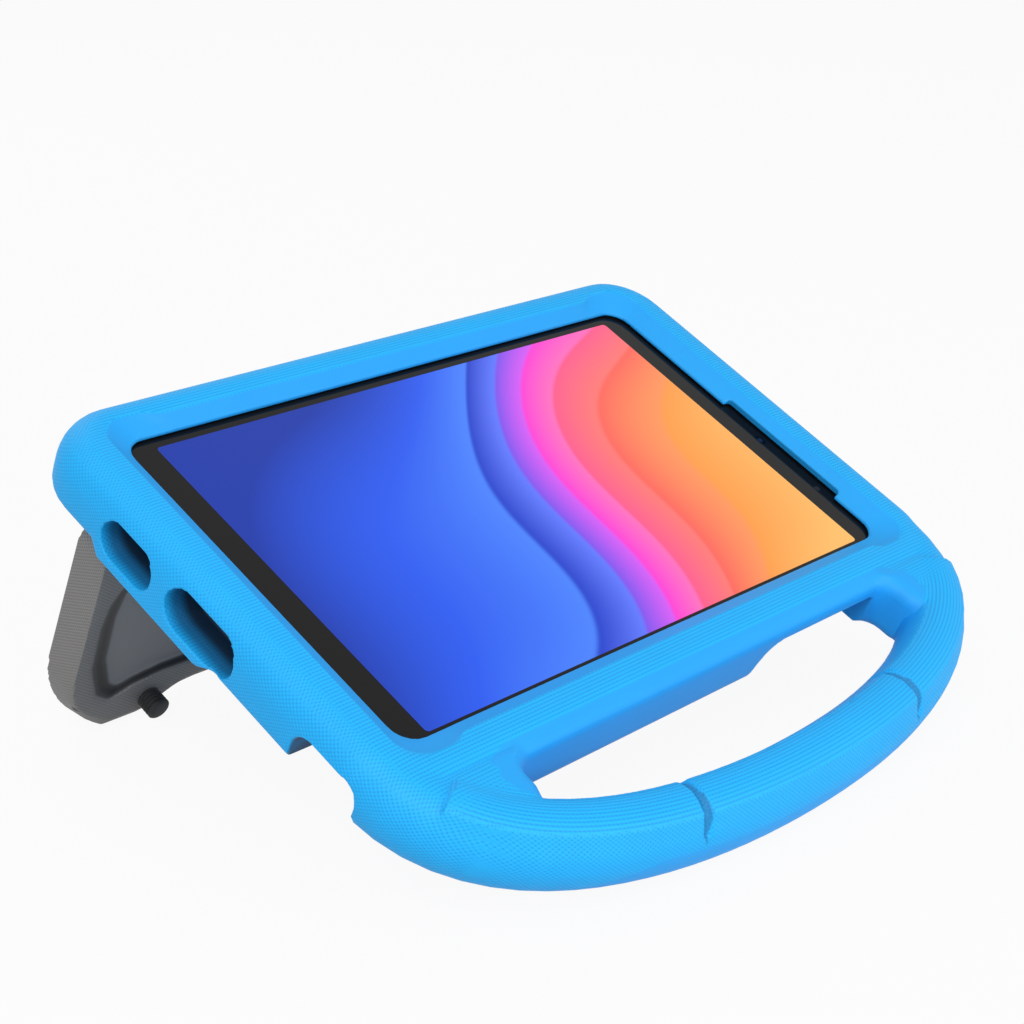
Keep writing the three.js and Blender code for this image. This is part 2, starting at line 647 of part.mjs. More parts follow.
function foamCase() {
  const body = joinAll(manifold(shellBody()), [
    backRidge(),
    handleBar(),
    gripPad(),
    loopWeb(1),
    loopWeb(-1),
  ]);
  const below = BACK_FACE - CUT_PAST;
  const inside = POCKET_FLOOR + CUT_PAST;
  const socketTop = BACK_FACE + PEG_SOCKET_DEPTH;
  const socketY = PIVOT_Y + PEG_Z - PIVOT_Z;
  const cameraRadii = [CAMERA_HOLE_RADIUS + CAMERA_HOLE_FLARE, CAMERA_HOLE_RADIUS];
  return cutAll(body, [
    pocketCut(),
    lipCut(),
    lipRecess(),
    portHole(SPEAKER_HOLE_Y, SPEAKER_HOLE_LENGTH, SPEAKER_HOLE_BOTTOM, SPEAKER_HOLE_TOP),
    portHole(USB_HOLE_Y, USB_HOLE_LENGTH, USB_HOLE_BOTTOM, USB_HOLE_TOP),
    cornerNotch(),
    buttonNotch(),
    rodAlongZ(below, inside, REAR_CAMERA_X, REAR_CAMERA_Y, ...cameraRadii),
    anchorRecess(),
    ...SCREW_X.map((x) => rodAlongZ(below, inside, x, SCREW_Y, SCREW_RADIUS + FIT)),
    rodAlongZ(below, socketTop, PEG_X, socketY, PEG_RADIUS + PEG_SWING_FIT),
    gripGroove(-1),
    gripGroove(1),
  ]);
}

// Stand

// Front view of the stand: two feet with a low arch between them
function standOutline(footZ, archZ) {
  const half = STAND_HALF_LENGTH;
  const top = PIVOT_Z + PIVOT_RADIUS;
  const outside = new THREE.CubicBezierCurve(
    vec(half, STAND_CORNER_START_Z),
    vec(half, STAND_CORNER_START_Z - 13),
    vec(FOOT_OUTER_X + 7, footZ + 5),
    vec(FOOT_OUTER_X, footZ),
  );
  const inside = new THREE.CubicBezierCurve(
    vec(FOOT_INNER_X, footZ),
    vec(FOOT_INNER_X - 5, footZ),
    vec(ARCH_START_X + 10, archZ),
    vec(ARCH_START_X, archZ),
  );
  const right = [
    ...arc(half - STAND_TOP_CORNER, top - STAND_TOP_CORNER, STAND_TOP_CORNER, 90, 0, 4),
    ...outside.getPoints(7),
    ...inside.getPoints(6),
  ];
  return [...right, ...mirrored(right)];
}

// The plate of the stand: its lower edge is bevelled in front, and its feet are cut level with the ground
function standPlate() {
  return loft([
    ringAtY(standOutline(groundZ(TOE_Y) + TOE_BEVEL_HEIGHT, ARCH_Z + TOE_BEVEL_HEIGHT), STAND_FRONT_Y),
    ringAtY(standOutline(groundZ(TOE_Y), ARCH_Z), TOE_Y),
    ringAtY(standOutline(groundZ(STAND_BACK_Y), ARCH_Z), STAND_BACK_Y),
  ]);
}

// The shallow recess in the front of the stand, with a long slope at each outer side
function standRecess() {
  const half = STAND_HALF_LENGTH - RECESS_MARGIN;
  const apex = FOOT_OUTER_X + 3;
  const rim = [
    vec(half - 4, RECESS_TOP_Z),
    vec(half - 1, RECESS_TOP_Z - 6),
    vec(half, RECESS_TOP_Z - 14),
    vec(half - 0.6, RECESS_TOP_Z - 29),
    vec(half - 4.5, RECESS_BOTTOM_Z - 0.5),
    vec(apex, RECESS_BOTTOM_Z - 4.6),
    vec(apex - 8, RECESS_BOTTOM_Z - 1.4),
    vec(apex - 18, RECESS_BOTTOM_Z),
  ];
  const floor = [
    vec(half - 4 - RECESS_RAMP, RECESS_TOP_Z - 1),
    vec(half - 1.4 - RECESS_RAMP, RECESS_TOP_Z - 6),
    vec(half - RECESS_RAMP, RECESS_TOP_Z - 14),
    vec(half - 0.6 - RECESS_RAMP, RECESS_TOP_Z - 29),
    vec(half - 4 - RECESS_RAMP, RECESS_BOTTOM_Z + 0.2),
    vec(apex - 5.5, RECESS_BOTTOM_Z - 1.6),
    vec(apex - 10, RECESS_BOTTOM_Z - 0.4),
    vec(apex - 19, RECESS_BOTTOM_Z + 0.8),
  ];
  const ring = (side, y) => ringAtY([...side, ...mirrored(side)], y);
  return loft([
    ring(floor, STAND_FRONT_Y + RECESS_DEPTH),
    ring(rim, STAND_FRONT_Y),
    ring(rim, STAND_FRONT_Y - CUT_PAST),
  ]);
}

function stand() {
  const half = STAND_HALF_LENGTH + CUT_PAST;
  const lugSpace = LUG_WIDTH / 2 + RUNNING_FIT;
  const top = PIVOT_Z + PIVOT_RADIUS + CUT_PAST;
  const slots = LUG_X.map((x) => box(
    x - lugSpace,
    x + lugSpace,
    STAND_FRONT_Y - CUT_PAST,
    STAND_BACK_Y + CUT_PAST,
    PIVOT_Z - PIVOT_RADIUS,
    top,
  ));
  const squareNose = manifold(box(-half, half, STAND_FRONT_Y - CUT_PAST, PIVOT_Y, PIVOT_Z, top));
  const roundNose = manifold(rodAlongX(-half - 1, half + 1, PIVOT_Y, PIVOT_Z, PIVOT_RADIUS, 32));
  const stemEnd = STAND_FRONT_Y + PEG_STEM_DEPTH;
  return cutAll(manifold(standPlate()), [
    standRecess(),
    ...slots,
    rodAlongX(-PIN_HALF_LENGTH - 1, PIN_HALF_LENGTH + 1, PIVOT_Y, PIVOT_Z, PIN_RADIUS + FIT, 16),
    rodAlongY(STAND_FRONT_Y - CUT_PAST, stemEnd, PEG_X, PEG_Z, PEG_STEM_RADIUS + FIT, 16),
  ]).subtract(squareNose.subtract(roundNose));
}

function latchPeg() {
  const headFoot = STAND_FRONT_Y - FIT;
  const stemEnd = STAND_FRONT_Y + PEG_STEM_DEPTH - FIT;
  const head = rodAlongY(STAND_FRONT_Y - PEG_REACH, headFoot, PEG_X, PEG_Z, PEG_RADIUS, 20);
  const stem = rodAlongY(headFoot - 1, stemEnd, PEG_X, PEG_Z, PEG_STEM_RADIUS, 16);
  return manifold(head).add(manifold(stem));
}

// Hinge

function hingeBracket() {
  const half = BRACKET_HALF_LENGTH;
  const area = { left: -half, right: half, front: BRACKET_FRONT_Y, back: BRACKET_BACK_Y, corner: 3 };
  const base = plate(roundedOutline(area, 0, 4), BRACKET_FACE, BRACKET_TOP);
  const lugs = LUG_X.flatMap((x) => {
    const [x0, x1] = [x - LUG_WIDTH / 2, x + LUG_WIDTH / 2];
    return [
      box(x0, x1, BRACKET_FRONT_Y, PIVOT_Y + LUG_RADIUS, PIVOT_Z, BRACKET_TOP),
      rodAlongX(x0, x1, PIVOT_Y, PIVOT_Z, LUG_RADIUS),
    ];
  });
  const below = BACK_FACE - BRACKET_THICKNESS - CUT_PAST;
  const headSeat = BRACKET_FACE + SCREW_HEAD_HEIGHT;
  return cutAll(joinAll(manifold(base), lugs), [
    rodAlongX(-half, half, PIVOT_Y, PIVOT_Z, PIN_RADIUS + FIT, 16),
    ...SCREW_X.map((x) => rodAlongZ(below, BACK_FACE, x, SCREW_Y, SCREW_RADIUS + FIT)),
    ...SCREW_X.map((x) => rodAlongZ(below, headSeat, x, SCREW_Y, SCREW_HEAD_RADIUS + FIT)),
  ]);
}

function bracketScrew(x) {
  const seat = BRACKET_FACE + SCREW_HEAD_HEIGHT - FIT;
  const head = manifold(rodAlongZ(BRACKET_FACE, seat, x, SCREW_Y, SCREW_HEAD_RADIUS));
  const shaft = manifold(rodAlongZ(seat - 0.5, ANCHOR_TOP - FIT, x, SCREW_Y, SCREW_RADIUS));
  const drive = manifold(rodAlongZ(BRACKET_FACE - 1, BRACKET_FACE + 1, x, SCREW_Y, 1.2, 1.2, 6));
  return head.add(shaft).subtract(drive);
}

function anchorPlate() {
  const outline = roundedOutline(centred(ANCHOR_HALF_LENGTH, ANCHOR_HALF_WIDTH, 2), 0, 4);
  const strip = plate(outline, ANCHOR_BOTTOM, ANCHOR_TOP).translate(0, SCREW_Y, 0);
  const ends = [ANCHOR_BOTTOM - 1, ANCHOR_TOP + 1];
  return cutAll(manifold(strip), SCREW_X.map((x) => rodAlongZ(...ends, x, SCREW_Y, SCREW_RADIUS + FIT)));
}

// Tablet

const tabletArea = centred(TABLET_LENGTH / 2, TABLET_WIDTH / 2, TABLET_CORNER);
const tabletOutline = (inset) => roundedOutline(tabletArea, inset);
const insideOutline = (inset) => tabletOutline(COVER_WALL + inset);
const lowInside = COVER_INSIDE + FIT;
const highInside = FRAME_BOTTOM - FIT;
const boardLeft = INSIDE_HALF_LENGTH - FIT - BOARD_WIDTH;

function frontGlass() {
  return loft([
    ringAtZ(tabletOutline(GLASS_INSET), -GLASS_THICKNESS),
    ringAtZ(tabletOutline(GLASS_INSET), -GLASS_THICKNESS * 0.35),
    ringAtZ(tabletOutline(GLASS_INSET * 2), 0),
  ]);
}

// Places of the buttons along the front side: name, middle and length
const BUTTONS = [
  { name: 'tablet_power_button', x: POWER_X, length: POWER_LENGTH },
  { name: 'tablet_volume_button', x: VOLUME_X, length: VOLUME_LENGTH },
];
const SPEAKERS = [
  { name: 'tablet_back_speaker', y: SPEAKER_HOLE_Y },
  { name: 'tablet_front_speaker', y: FRONT_SPEAKER_Y },
];

function rearCover() {
  const wallX = -TABLET_LENGTH / 2;
  const wallY = -TABLET_WIDTH / 2;
  const round = TABLET_EDGE_ROUND;
  const shell = loft([
    ringAtZ(tabletOutline(round * 0.9), -TABLET_THICKNESS),
    ringAtZ(tabletOutline(round * 0.3), -TABLET_THICKNESS + round * 0.3),
    ringAtZ(tabletOutline(0), -TABLET_THICKNESS + round),
    ringAtZ(tabletOutline(0), DISPLAY_TOP),
  ]);
  const throughEnd = [wallX - 1, wallX + COVER_WALL + 1];
  const throughSide = [wallY - 1, wallY + COVER_WALL + 1];
  const throughFloor = [-TABLET_THICKNESS - 1, COVER_INSIDE + 1];
  const level = (height) => [PORT_HEIGHT - height / 2 - FIT, PORT_HEIGHT + height / 2 + FIT];
  const grilles = SPEAKERS.flatMap(({ y }) => [-2, -1, 0, 1, 2].map((step) => {
    const holeY = y + step * SPEAKER_HOLE_PITCH;
    return rodAlongX(...throughEnd, holeY, PORT_HEIGHT, SPEAKER_HOLE_RADIUS, 8);
  }));
  const slots = BUTTONS.map(({ x, length }) => {
    const reach = length / 2 + FIT;
    return box(x - reach, x + reach, ...throughSide, ...level(BUTTON_HEIGHT));
  });
  const usbReach = USB_WIDTH / 2 + FIT;
  return cutAll(manifold(shell), [
    plate(insideOutline(0), COVER_INSIDE, DISPLAY_TOP + 1),
    box(...throughEnd, USB_Y - usbReach, USB_Y + usbReach, ...level(USB_HEIGHT)),
    rodAlongX(...throughEnd, JACK_Y, PORT_HEIGHT, JACK_RADIUS + FIT, 16),
    ...grilles,
    ...slots,
    rodAlongZ(...throughFloor, REAR_CAMERA_X, REAR_CAMERA_Y, REAR_CAMERA_GLASS_RADIUS + FIT),
  ]);
}

// A socket shell along X at the left end, open towards the outside
function usbSocket() {
  const near = -TABLET_LENGTH / 2 + FIT;
  const far = near + USB_DEPTH;
  const area = centred(USB_WIDTH / 2, USB_HEIGHT / 2, 1.3);
  const sleeve = (inset, x0, x1) => {
    const outline = roundedOutline(area, inset, 4);
    return loft([ringAtX(outline, x0), ringAtX(outline, x1)]).translate(0, USB_Y, PORT_HEIGHT);
  };
  const tongue = box(near + 1, far - 1, -USB_WIDTH / 3, USB_WIDTH / 3, -0.35, 0.35);
  return manifold(sleeve(0, near, far))
    .subtract(manifold(sleeve(0.4, near - 1, far - 1.5)))
    .add(manifold(tongue.translate(0, USB_Y, PORT_HEIGHT)));
}

function headphoneSocket() {
  const near = -TABLET_LENGTH / 2 + FIT;
  const far = near + JACK_DEPTH;
  const body = rodAlongX(near, far, JACK_Y, PORT_HEIGHT, JACK_RADIUS, 16);
  const hole = rodAlongX(near - 1, far - 1.5, JACK_Y, PORT_HEIGHT, JACK_RADIUS - 0.5, 12);
  return cutAll(manifold(body), [hole]);
}

function speaker(y) {
  const near = -INSIDE_HALF_LENGTH + FIT;
  const half = SPEAKER_WIDTH / 2;
  return box(near, near + SPEAKER_DEPTH, y - half, y + half, lowInside, lowInside + SPEAKER_HEIGHT);
}

// A side button: the cap in its slot and the wider flange that keeps it in the tablet
function sideButton({ x, length }) {
  const wall = -TABLET_WIDTH / 2;
  const inner = wall + COVER_WALL + FIT;
  const block = (grow, y0, y1) => {
    const [half, tall] = [length / 2 + grow, BUTTON_HEIGHT / 2 + grow];
    return manifold(box(x - half, x + half, y0, y1, PORT_HEIGHT - tall, PORT_HEIGHT + tall));
  };
  const cap = block(0, wall - BUTTON_PROUD, inner + BUTTON_FLANGE / 2);
  return cap.add(block(BUTTON_FLANGE, inner, inner + BUTTON_FLANGE));
}

function keyBoard() {
  const near = -TABLET_WIDTH / 2 + COVER_WALL + FIT + BUTTON_FLANGE + BUTTON_TRAVEL + FIT;
  const left = VOLUME_X - VOLUME_LENGTH / 2;
  const right = POWER_X + POWER_LENGTH / 2;
  return box(left, right, near, near + KEY_BOARD_THICKNESS, lowInside, highInside);
}

function battery() {
  const left = BATTERY_END_ROOM - INSIDE_HALF_LENGTH;
  const half = INSIDE_HALF_WIDTH - BATTERY_SIDE_ROOM;
  return box(left, boardLeft - FIT, -half, half, lowInside, highInside);
}

function mainBoard() {
  const half = INSIDE_HALF_WIDTH - TABLET_CORNER;
  const top = lowInside + BOARD_THICKNESS;
  const board = box(boardLeft, boardLeft + BOARD_WIDTH, -half, half, lowInside, top);
  const hole = rodAlongZ(lowInside - 1, top + 1, REAR_CAMERA_X, REAR_CAMERA_Y, REAR_CAMERA_RADIUS + FIT);
  return cutAll(manifold(board), [hole]);
}

function portBoard() {
  const left = -TABLET_LENGTH / 2 + JACK_DEPTH + 2 * FIT;
  const [front, back] = [JACK_Y - PORT_BOARD_MARGIN, USB_Y + PORT_BOARD_MARGIN];
  return box(left, left + BOARD_WIDTH, front, back, lowInside, lowInside + BOARD_THICKNESS);
}

function displayPanel() {
  const area = centred(TABLET_LENGTH / 2 - BEZEL_END, TABLET_WIDTH / 2 - BEZEL_SIDE, 1);
  return plate(roundedOutline(area, 0, 3), DISPLAY_BOTTOM, DISPLAY_TOP);
}

function rearCameraGlass() {
  const top = lowInside - FIT;
  const bottom = top - REAR_CAMERA_GLASS_THICKNESS;
  return rodAlongZ(bottom, top, REAR_CAMERA_X, REAR_CAMERA_Y, REAR_CAMERA_GLASS_RADIUS);
}

const frontCamera = rodAlongZ(
  DISPLAY_BOTTOM,
  DISPLAY_TOP,
  FRONT_CAMERA_X,
  FRONT_CAMERA_Y,
  FRONT_CAMERA_RADIUS,
);
const rearCamera = rodAlongZ(lowInside, highInside, REAR_CAMERA_X, REAR_CAMERA_Y, REAR_CAMERA_RADIUS);

const tabletPieces = [
  piece('tablet_front_glass', frontGlass(), glass),
  piece('tablet_display_panel', displayPanel(), screen),
  piece('tablet_mid_frame', plate(insideOutline(FIT), FRAME_BOTTOM, FRAME_TOP), alloy),
  piece('tablet_rear_cover', rearCover(), darkPlastic),
  piece('tablet_battery', battery(), foil),
  piece('tablet_main_board', mainBoard(), boardGreen),
  piece('tablet_port_board', portBoard(), boardGreen),
  piece('tablet_usb_socket', usbSocket(), steel),
  piece('tablet_headphone_socket', headphoneSocket(), darkPlastic),
  ...SPEAKERS.map(({ name, y }) => piece(name, speaker(y), darkPlastic)),
  piece('tablet_front_camera', frontCamera, darkPlastic),
  piece('tablet_rear_camera', rearCamera, darkPlastic),
  piece('tablet_rear_camera_glass', rearCameraGlass(), glass),
  ...BUTTONS.map((button) => piece(button.name, sideButton(button), darkPlastic)),
  piece('tablet_key_board', keyBoard(), boardGreen),
];

const hingePin = rodAlongX(-PIN_HALF_LENGTH, PIN_HALF_LENGTH, PIVOT_Y, PIVOT_Z, PIN_RADIUS, 16);

const casePieces = [
  piece('foam_case', foamCase(), blueFoam),
  piece('stand_bracket', hingeBracket(), greyPlastic),
  piece('stand_anchor_plate', anchorPlate(), steel),
  ...SCREW_X.map((x, i) => piece(`bracket_screw_${i + 1}`, bracketScrew(x), steel)),
  piece('stand_hinge_pin', hingePin, steel),
];

const standPieces = [
  piece('stand', stand(), greyPlastic),
  piece('stand_latch_peg', latchPeg(), blackRubber),
];

// The leaning case, moved so that it stands on Z = 0 over the origin
const leaning = new THREE.Group();
leaning.rotation.x = LEAN;
leaning.add(...casePieces, ...standPieces, ...tabletPieces);

const kidsTabletCase = new THREE.Group();
kidsTabletCase.add(leaning);
kidsTabletCase.updateMatrixWorld(true);
const extent = new THREE.Box3().setFromObject(kidsTabletCase, true);
const middle = extent.getCenter(new THREE.Vector3());
leaning.position.set(-middle.x, -middle.y, -extent.min.z);

export default kidsTabletCase;
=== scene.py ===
"""Looks of the kids tablet case: foam shell, fold-out stand, its fastening and the tablet inside."""

from __future__ import annotations

import logging
import math
from dataclasses import dataclass, field
from enum import Enum

import bmesh
import bpy
import numpy as np
from mathutils import Matrix, Vector


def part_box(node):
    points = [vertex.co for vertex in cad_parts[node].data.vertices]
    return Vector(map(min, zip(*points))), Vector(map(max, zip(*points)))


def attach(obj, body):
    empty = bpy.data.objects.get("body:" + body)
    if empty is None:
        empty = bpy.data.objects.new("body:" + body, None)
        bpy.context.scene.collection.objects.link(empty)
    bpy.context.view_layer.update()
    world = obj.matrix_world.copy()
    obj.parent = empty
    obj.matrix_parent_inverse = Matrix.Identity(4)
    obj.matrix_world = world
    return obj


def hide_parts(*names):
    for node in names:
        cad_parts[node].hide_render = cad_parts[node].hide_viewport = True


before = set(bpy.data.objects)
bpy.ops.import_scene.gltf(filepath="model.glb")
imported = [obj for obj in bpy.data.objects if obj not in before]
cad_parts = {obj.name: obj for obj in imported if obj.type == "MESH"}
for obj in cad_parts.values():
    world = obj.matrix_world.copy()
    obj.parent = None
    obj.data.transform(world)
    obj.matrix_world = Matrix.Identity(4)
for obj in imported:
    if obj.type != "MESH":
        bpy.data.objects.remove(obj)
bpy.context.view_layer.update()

logging.basicConfig(level=logging.INFO, format="%(message)s")
log = logging.getLogger("tablet_case")

MM = 0.001
# The longest distance from a painted edge that is stored on a mesh, in millimetres.
FAR = 5.0

Color = tuple[float, float, float, float]
Arrays = tuple[np.ndarray, np.ndarray, np.ndarray]


class Facing(Enum):
    """Directions of the case as it is drawn flat."""

    RIGHT = (1.0, 0.0, 0.0)
    BACK = (0.0, 1.0, 0.0)
    UP = (0.0, 0.0, 1.0)


@dataclass(frozen=True)
class CasePlace:
    """Where the case lies. It is drawn flat in millimetres, then leans back over the origin."""

    lean: float = math.radians(25.7)
    pin_y: float = 45.0
    pin_z: float = -21.6

    def turn(self) -> Matrix:
        """Returns the rotation from the flat case to the leaning one."""
        return Matrix.Rotation(self.lean, 3, "X")

    def shift(self) -> Vector:
        """Returns the place of the flat case's origin in metres, found from the hinge pin."""
        low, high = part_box("stand_hinge_pin")
        return (low + high) / 2 - self.turn() @ Vector((0, self.pin_y, self.pin_z)) * MM

    def to_world(self, points: np.ndarray) -> np.ndarray:
        """Moves flat points in millimetres to their place in metres.

        Args:
            points: An array of points, one a row.

        Returns:
            The same points in the frame of the model.
        """
        return points @ np.array(self.turn()).T * MM + np.array(self.shift())

    def to_case(self, points: np.ndarray) -> np.ndarray:
        """Moves points in metres back to the flat case in millimetres.

        Args:
            points: An array of points, one a row.

        Returns:
            The same points in the flat case's millimetres.
        """
        return (points - np.array(self.shift())) / MM @ np.array(self.turn())

    def direction(self, facing: Facing) -> Vector:
        """Returns one direction of the flat case as it points in the model."""
        return self.turn() @ Vector(facing.value)


def linear(red: float, green: float, blue: float) -> Color:
    """Turns a display colour of 0 to 255 into the linear colour that a shader takes.

    Args:
        red: Red, 0 to 255.
        green: Green, 0 to 255.
        blue: Blue, 0 to 255.

    Returns:
        The linear colour with alpha 1.
    """
    shares = [value / 255 for value in (red, green, blue)]
    flat = [s / 12.92 if s <= 0.04045 else ((s + 0.055) / 1.055) ** 2.4 for s in shares]
    return (flat[0], flat[1], flat[2], 1.0)


@dataclass
class Wiring:
    """Adds the nodes of one tree and joins them."""

    tree: bpy.types.NodeTree

    def add(self, kind: str, **settings) -> bpy.types.Node:
        """Adds a node.

        Args:
            kind: The node's type name.
            **settings: Values of the node's own properties.

        Returns:
            The new node.
        """
        node = self.tree.nodes.new(kind)
        for name, value in settings.items():
            setattr(node, name, value)
        return node

    def plug(self, target: bpy.types.NodeSocket, value) -> None:
        """Joins a socket to another one, or sets its value.

        Args:
            target: The input socket.
            value: An output socket, a number or a tuple.
        """
        if isinstance(value, bpy.types.NodeSocket):
            self.tree.links.new(value, target)
        else:
            target.default_value = value

    def maths(self, operation: str, *values) -> bpy.types.NodeSocket:
        """Adds a Math node and returns its result."""
        node = self.add("ShaderNodeMath", operation=operation)
        for socket, value in zip(node.inputs, values):
            self.plug(socket, value)
        return node.outputs[0]

    def dot(self, vector, direction) -> bpy.types.NodeSocket:
        """Adds a dot product of two vectors and returns its value."""
        node = self.add("ShaderNodeVectorMath", operation="DOT_PRODUCT")
        self.plug(node.inputs[0], vector)
        self.plug(node.inputs[1], direction)
        return node.outputs["Value"]

    def blend(self, factor, first, second) -> bpy.types.NodeSocket:
        """Adds a colour mix from the first colour to the second and returns its result."""
        node = self.add("ShaderNodeMix", data_type="RGBA")
        self.plug(node.inputs["Factor"], factor)
        self.plug(node.inputs[6], first)
        self.plug(node.inputs[7], second)
        return node.outputs[2]

    def share(self, factor, first, second) -> bpy.types.NodeSocket:
        """Adds a mix of two numbers, the first at 0 and the second at 1, and returns its result."""
        rest = self.maths("MULTIPLY", first, self.maths("SUBTRACT", 1.0, factor))
        return self.maths("ADD", self.maths("MULTIPLY", second, factor), rest)

    def step(self, value, low: float, high: float) -> bpy.types.NodeSocket:
        """Adds a smooth step of a value from low to high and returns it as 0 to 1."""
        node = self.add("ShaderNodeMapRange", interpolation_type="SMOOTHSTEP")
        self.plug(node.inputs["Value"], value)
        self.plug(node.inputs["From Min"], low)
        self.plug(node.inputs["From Max"], high)
        return node.outputs["Result"]

    def scaled(self, vector, scale) -> bpy.types.NodeSocket:
        """Adds a vector times a number and returns the vector."""
        node = self.add("ShaderNodeVectorMath", operation="SCALE")
        self.plug(node.inputs[0], vector)
        self.plug(node.inputs["Scale"], scale)
        return node.outputs[0]

    def reach(self, x, y) -> bpy.types.NodeSocket:
        """Adds the length of a flat vector and returns it."""
        square = self.maths("ADD", self.maths("POWER", x, 2.0), self.maths("POWER", y, 2.0))
        return self.maths("SQRT", square)

    def noise(self, vector, scale, detail: float = 2.0) -> bpy.types.NodeSocket:
        """Adds a noise texture over a vector and returns its value."""
        node = self.add("ShaderNodeTexNoise")
        self.plug(node.inputs["Vector"], vector)
        self.plug(node.inputs["Scale"], scale)
        node.inputs["Detail"].default_value = detail
        return node.outputs["Fac"]


@dataclass
class EffectGroup:
    """A shader node group that several finishes share."""

    name: str
    inputs: dict[str, str]
    outputs: dict[str, str]
    tree: bpy.types.ShaderNodeTree = field(init=False)
    wiring: Wiring = field(init=False)

    def __post_init__(self) -> None:
        """Makes the empty group with its named sockets."""
        self.tree = bpy.data.node_groups.new(self.name, "ShaderNodeTree")
        for direction, sockets in (("INPUT", self.inputs), ("OUTPUT", self.outputs)):
            for name, kind in sockets.items():
                self.tree.interface.new_socket(name, in_out=direction, socket_type=f"NodeSocket{kind}")
        self.wiring = Wiring(self.tree)
        self.entry = self.wiring.add("NodeGroupInput")
        self.exit = self.wiring.add("NodeGroupOutput")

    def given(self, name: str) -> bpy.types.NodeSocket:
        """Returns the group's input with that name."""
        return self.entry.outputs[name]

    def give(self, name: str, value: bpy.types.NodeSocket) -> None:
        """Joins a value to the group's output with that name."""
        self.wiring.plug(self.exit.inputs[name], value)

    def place(self, wiring: Wiring, **values) -> bpy.types.Node:
        """Puts the group in a tree.

        Args:
            wiring: The tree it goes in.
            **values: What each input takes, by its name.

        Returns:
            The group's node.
        """
        node = wiring.add("ShaderNodeGroup", node_tree=self.tree)
        for name, value in values.items():
            wiring.plug(node.inputs[name], value)
        return node


def case_point_group(place: CasePlace) -> EffectGroup:
    """Makes the group that turns object coordinates into the flat case's millimetres and directions.

    Args:
        place: Where the case lies.

    Returns:
        The group, with Point, and Across, Along and Up of the surface's normal.
    """
    group = EffectGroup(
        "case_point",
        {"Position": "Vector", "Normal": "Vector"},
        {"Point": "Vector", "Across": "Float", "Along": "Float", "Up": "Float"},
    )
    wiring = group.wiring
    parts = wiring.add("ShaderNodeCombineXYZ")
    for socket, facing in zip(parts.inputs, Facing):
        direction = place.direction(facing)
        start = direction.dot(place.shift())
        length = wiring.dot(group.given("Position"), tuple(direction))
        wiring.plug(socket, wiring.maths("MULTIPLY", wiring.maths("SUBTRACT", length, start), 1 / MM))
    group.give("Point", parts.outputs[0])
    for name, facing in zip(("Across", "Along", "Up"), Facing):
        tilt = wiring.dot(group.given("Normal"), tuple(place.direction(facing)))
        group.give(name, tilt)
    return group


@dataclass(frozen=True)
class ReliefShape:
    """How the foam's ribs and weave are shared out. Each pair is where one starts and where it is full."""

    weave_stretch: float = 1.3
    rib_share: float = 0.78
    dot_share: float = 0.22
    handle_lean: float = 0.16
    flat: tuple[float, float] = (0.93, 0.985)
    upward: tuple[float, float] = (0.55, 0.8)
    end_wall: tuple[float, float] = (0.4, 0.6)


def moulded_relief_group(shape: ReliefShape) -> EffectGroup:
    """Makes the moulded foam's relief: fine ribs on what faces up, and a dotted weave on the walls.

    Args:
        shape: How the ribs and the weave are shared out.

    Returns:
        The group, with Height from 0 to 1.
    """
    group = EffectGroup(
        "moulded_relief",
        {
            "Point": "Vector", "Across": "Float", "Along": "Float", "Up": "Float",
            "Rib Pitch": "Float", "Weave Pitch": "Float", "Plain": "Float",
            "Handle Row": "Float", "Handle Share": "Float",
        },
        {"Height": "Float"},
    )
    wiring = group.wiring
    split = wiring.add("ShaderNodeSeparateXYZ")
    wiring.plug(split.inputs[0], group.given("Point"))
    x, y, z = split.outputs

    def wave(value, pitch) -> bpy.types.NodeSocket:
        """Returns a cosine of a length at a pitch that the group is given."""
        turns = wiring.maths("DIVIDE", value, pitch)
        return wiring.maths("COSINE", wiring.maths("MULTIPLY", turns, 2 * math.pi))

    handle = group.given("Handle Share")
    rib_pitch = group.given("Rib Pitch")
    ribs = wiring.share(handle, wave(y, rib_pitch), wave(group.given("Handle Row"), rib_pitch))
    pitch = group.given("Weave Pitch")
    wide = wiring.maths("MULTIPLY", pitch, shape.weave_stretch)
    top_weave = wiring.maths("MULTIPLY", wave(x, wide), wave(y, pitch))
    dots = wiring.maths("MULTIPLY", wave(x, pitch), shape.dot_share)
    ribs = wiring.maths("MULTIPLY_ADD", ribs, shape.rib_share, dots)
    end_weave = wiring.maths("MULTIPLY", wave(y, wide), wave(z, pitch))
    side_weave = wiring.maths("MULTIPLY", wave(x, wide), wave(z, pitch))
    up = wiring.maths("ABSOLUTE", group.given("Up"))
    across = wiring.maths("ABSOLUTE", group.given("Across"))
    along = wiring.maths("ABSOLUTE", group.given("Along"))
    level = wiring.maths("MULTIPLY_ADD", handle, shape.handle_lean, group.given("Up"))
    flat = wiring.step(level, *shape.flat)
    upward = wiring.step(up, *shape.upward)
    total = wiring.maths("MAXIMUM", wiring.maths("ADD", across, along), 0.001)
    end_share = wiring.step(wiring.maths("DIVIDE", across, total), *shape.end_wall)
    wall = wiring.share(end_share, side_weave, end_weave)
    slope = wiring.share(upward, wall, top_weave)
    mixed = wiring.share(flat, slope, ribs)
    kept = wiring.maths("MULTIPLY", mixed, wiring.maths("SUBTRACT", 1.0, group.given("Plain")))
    group.give("Height", wiring.maths("SQRT", wiring.maths("MULTIPLY_ADD", kept, 0.5, 0.5)))
    return group


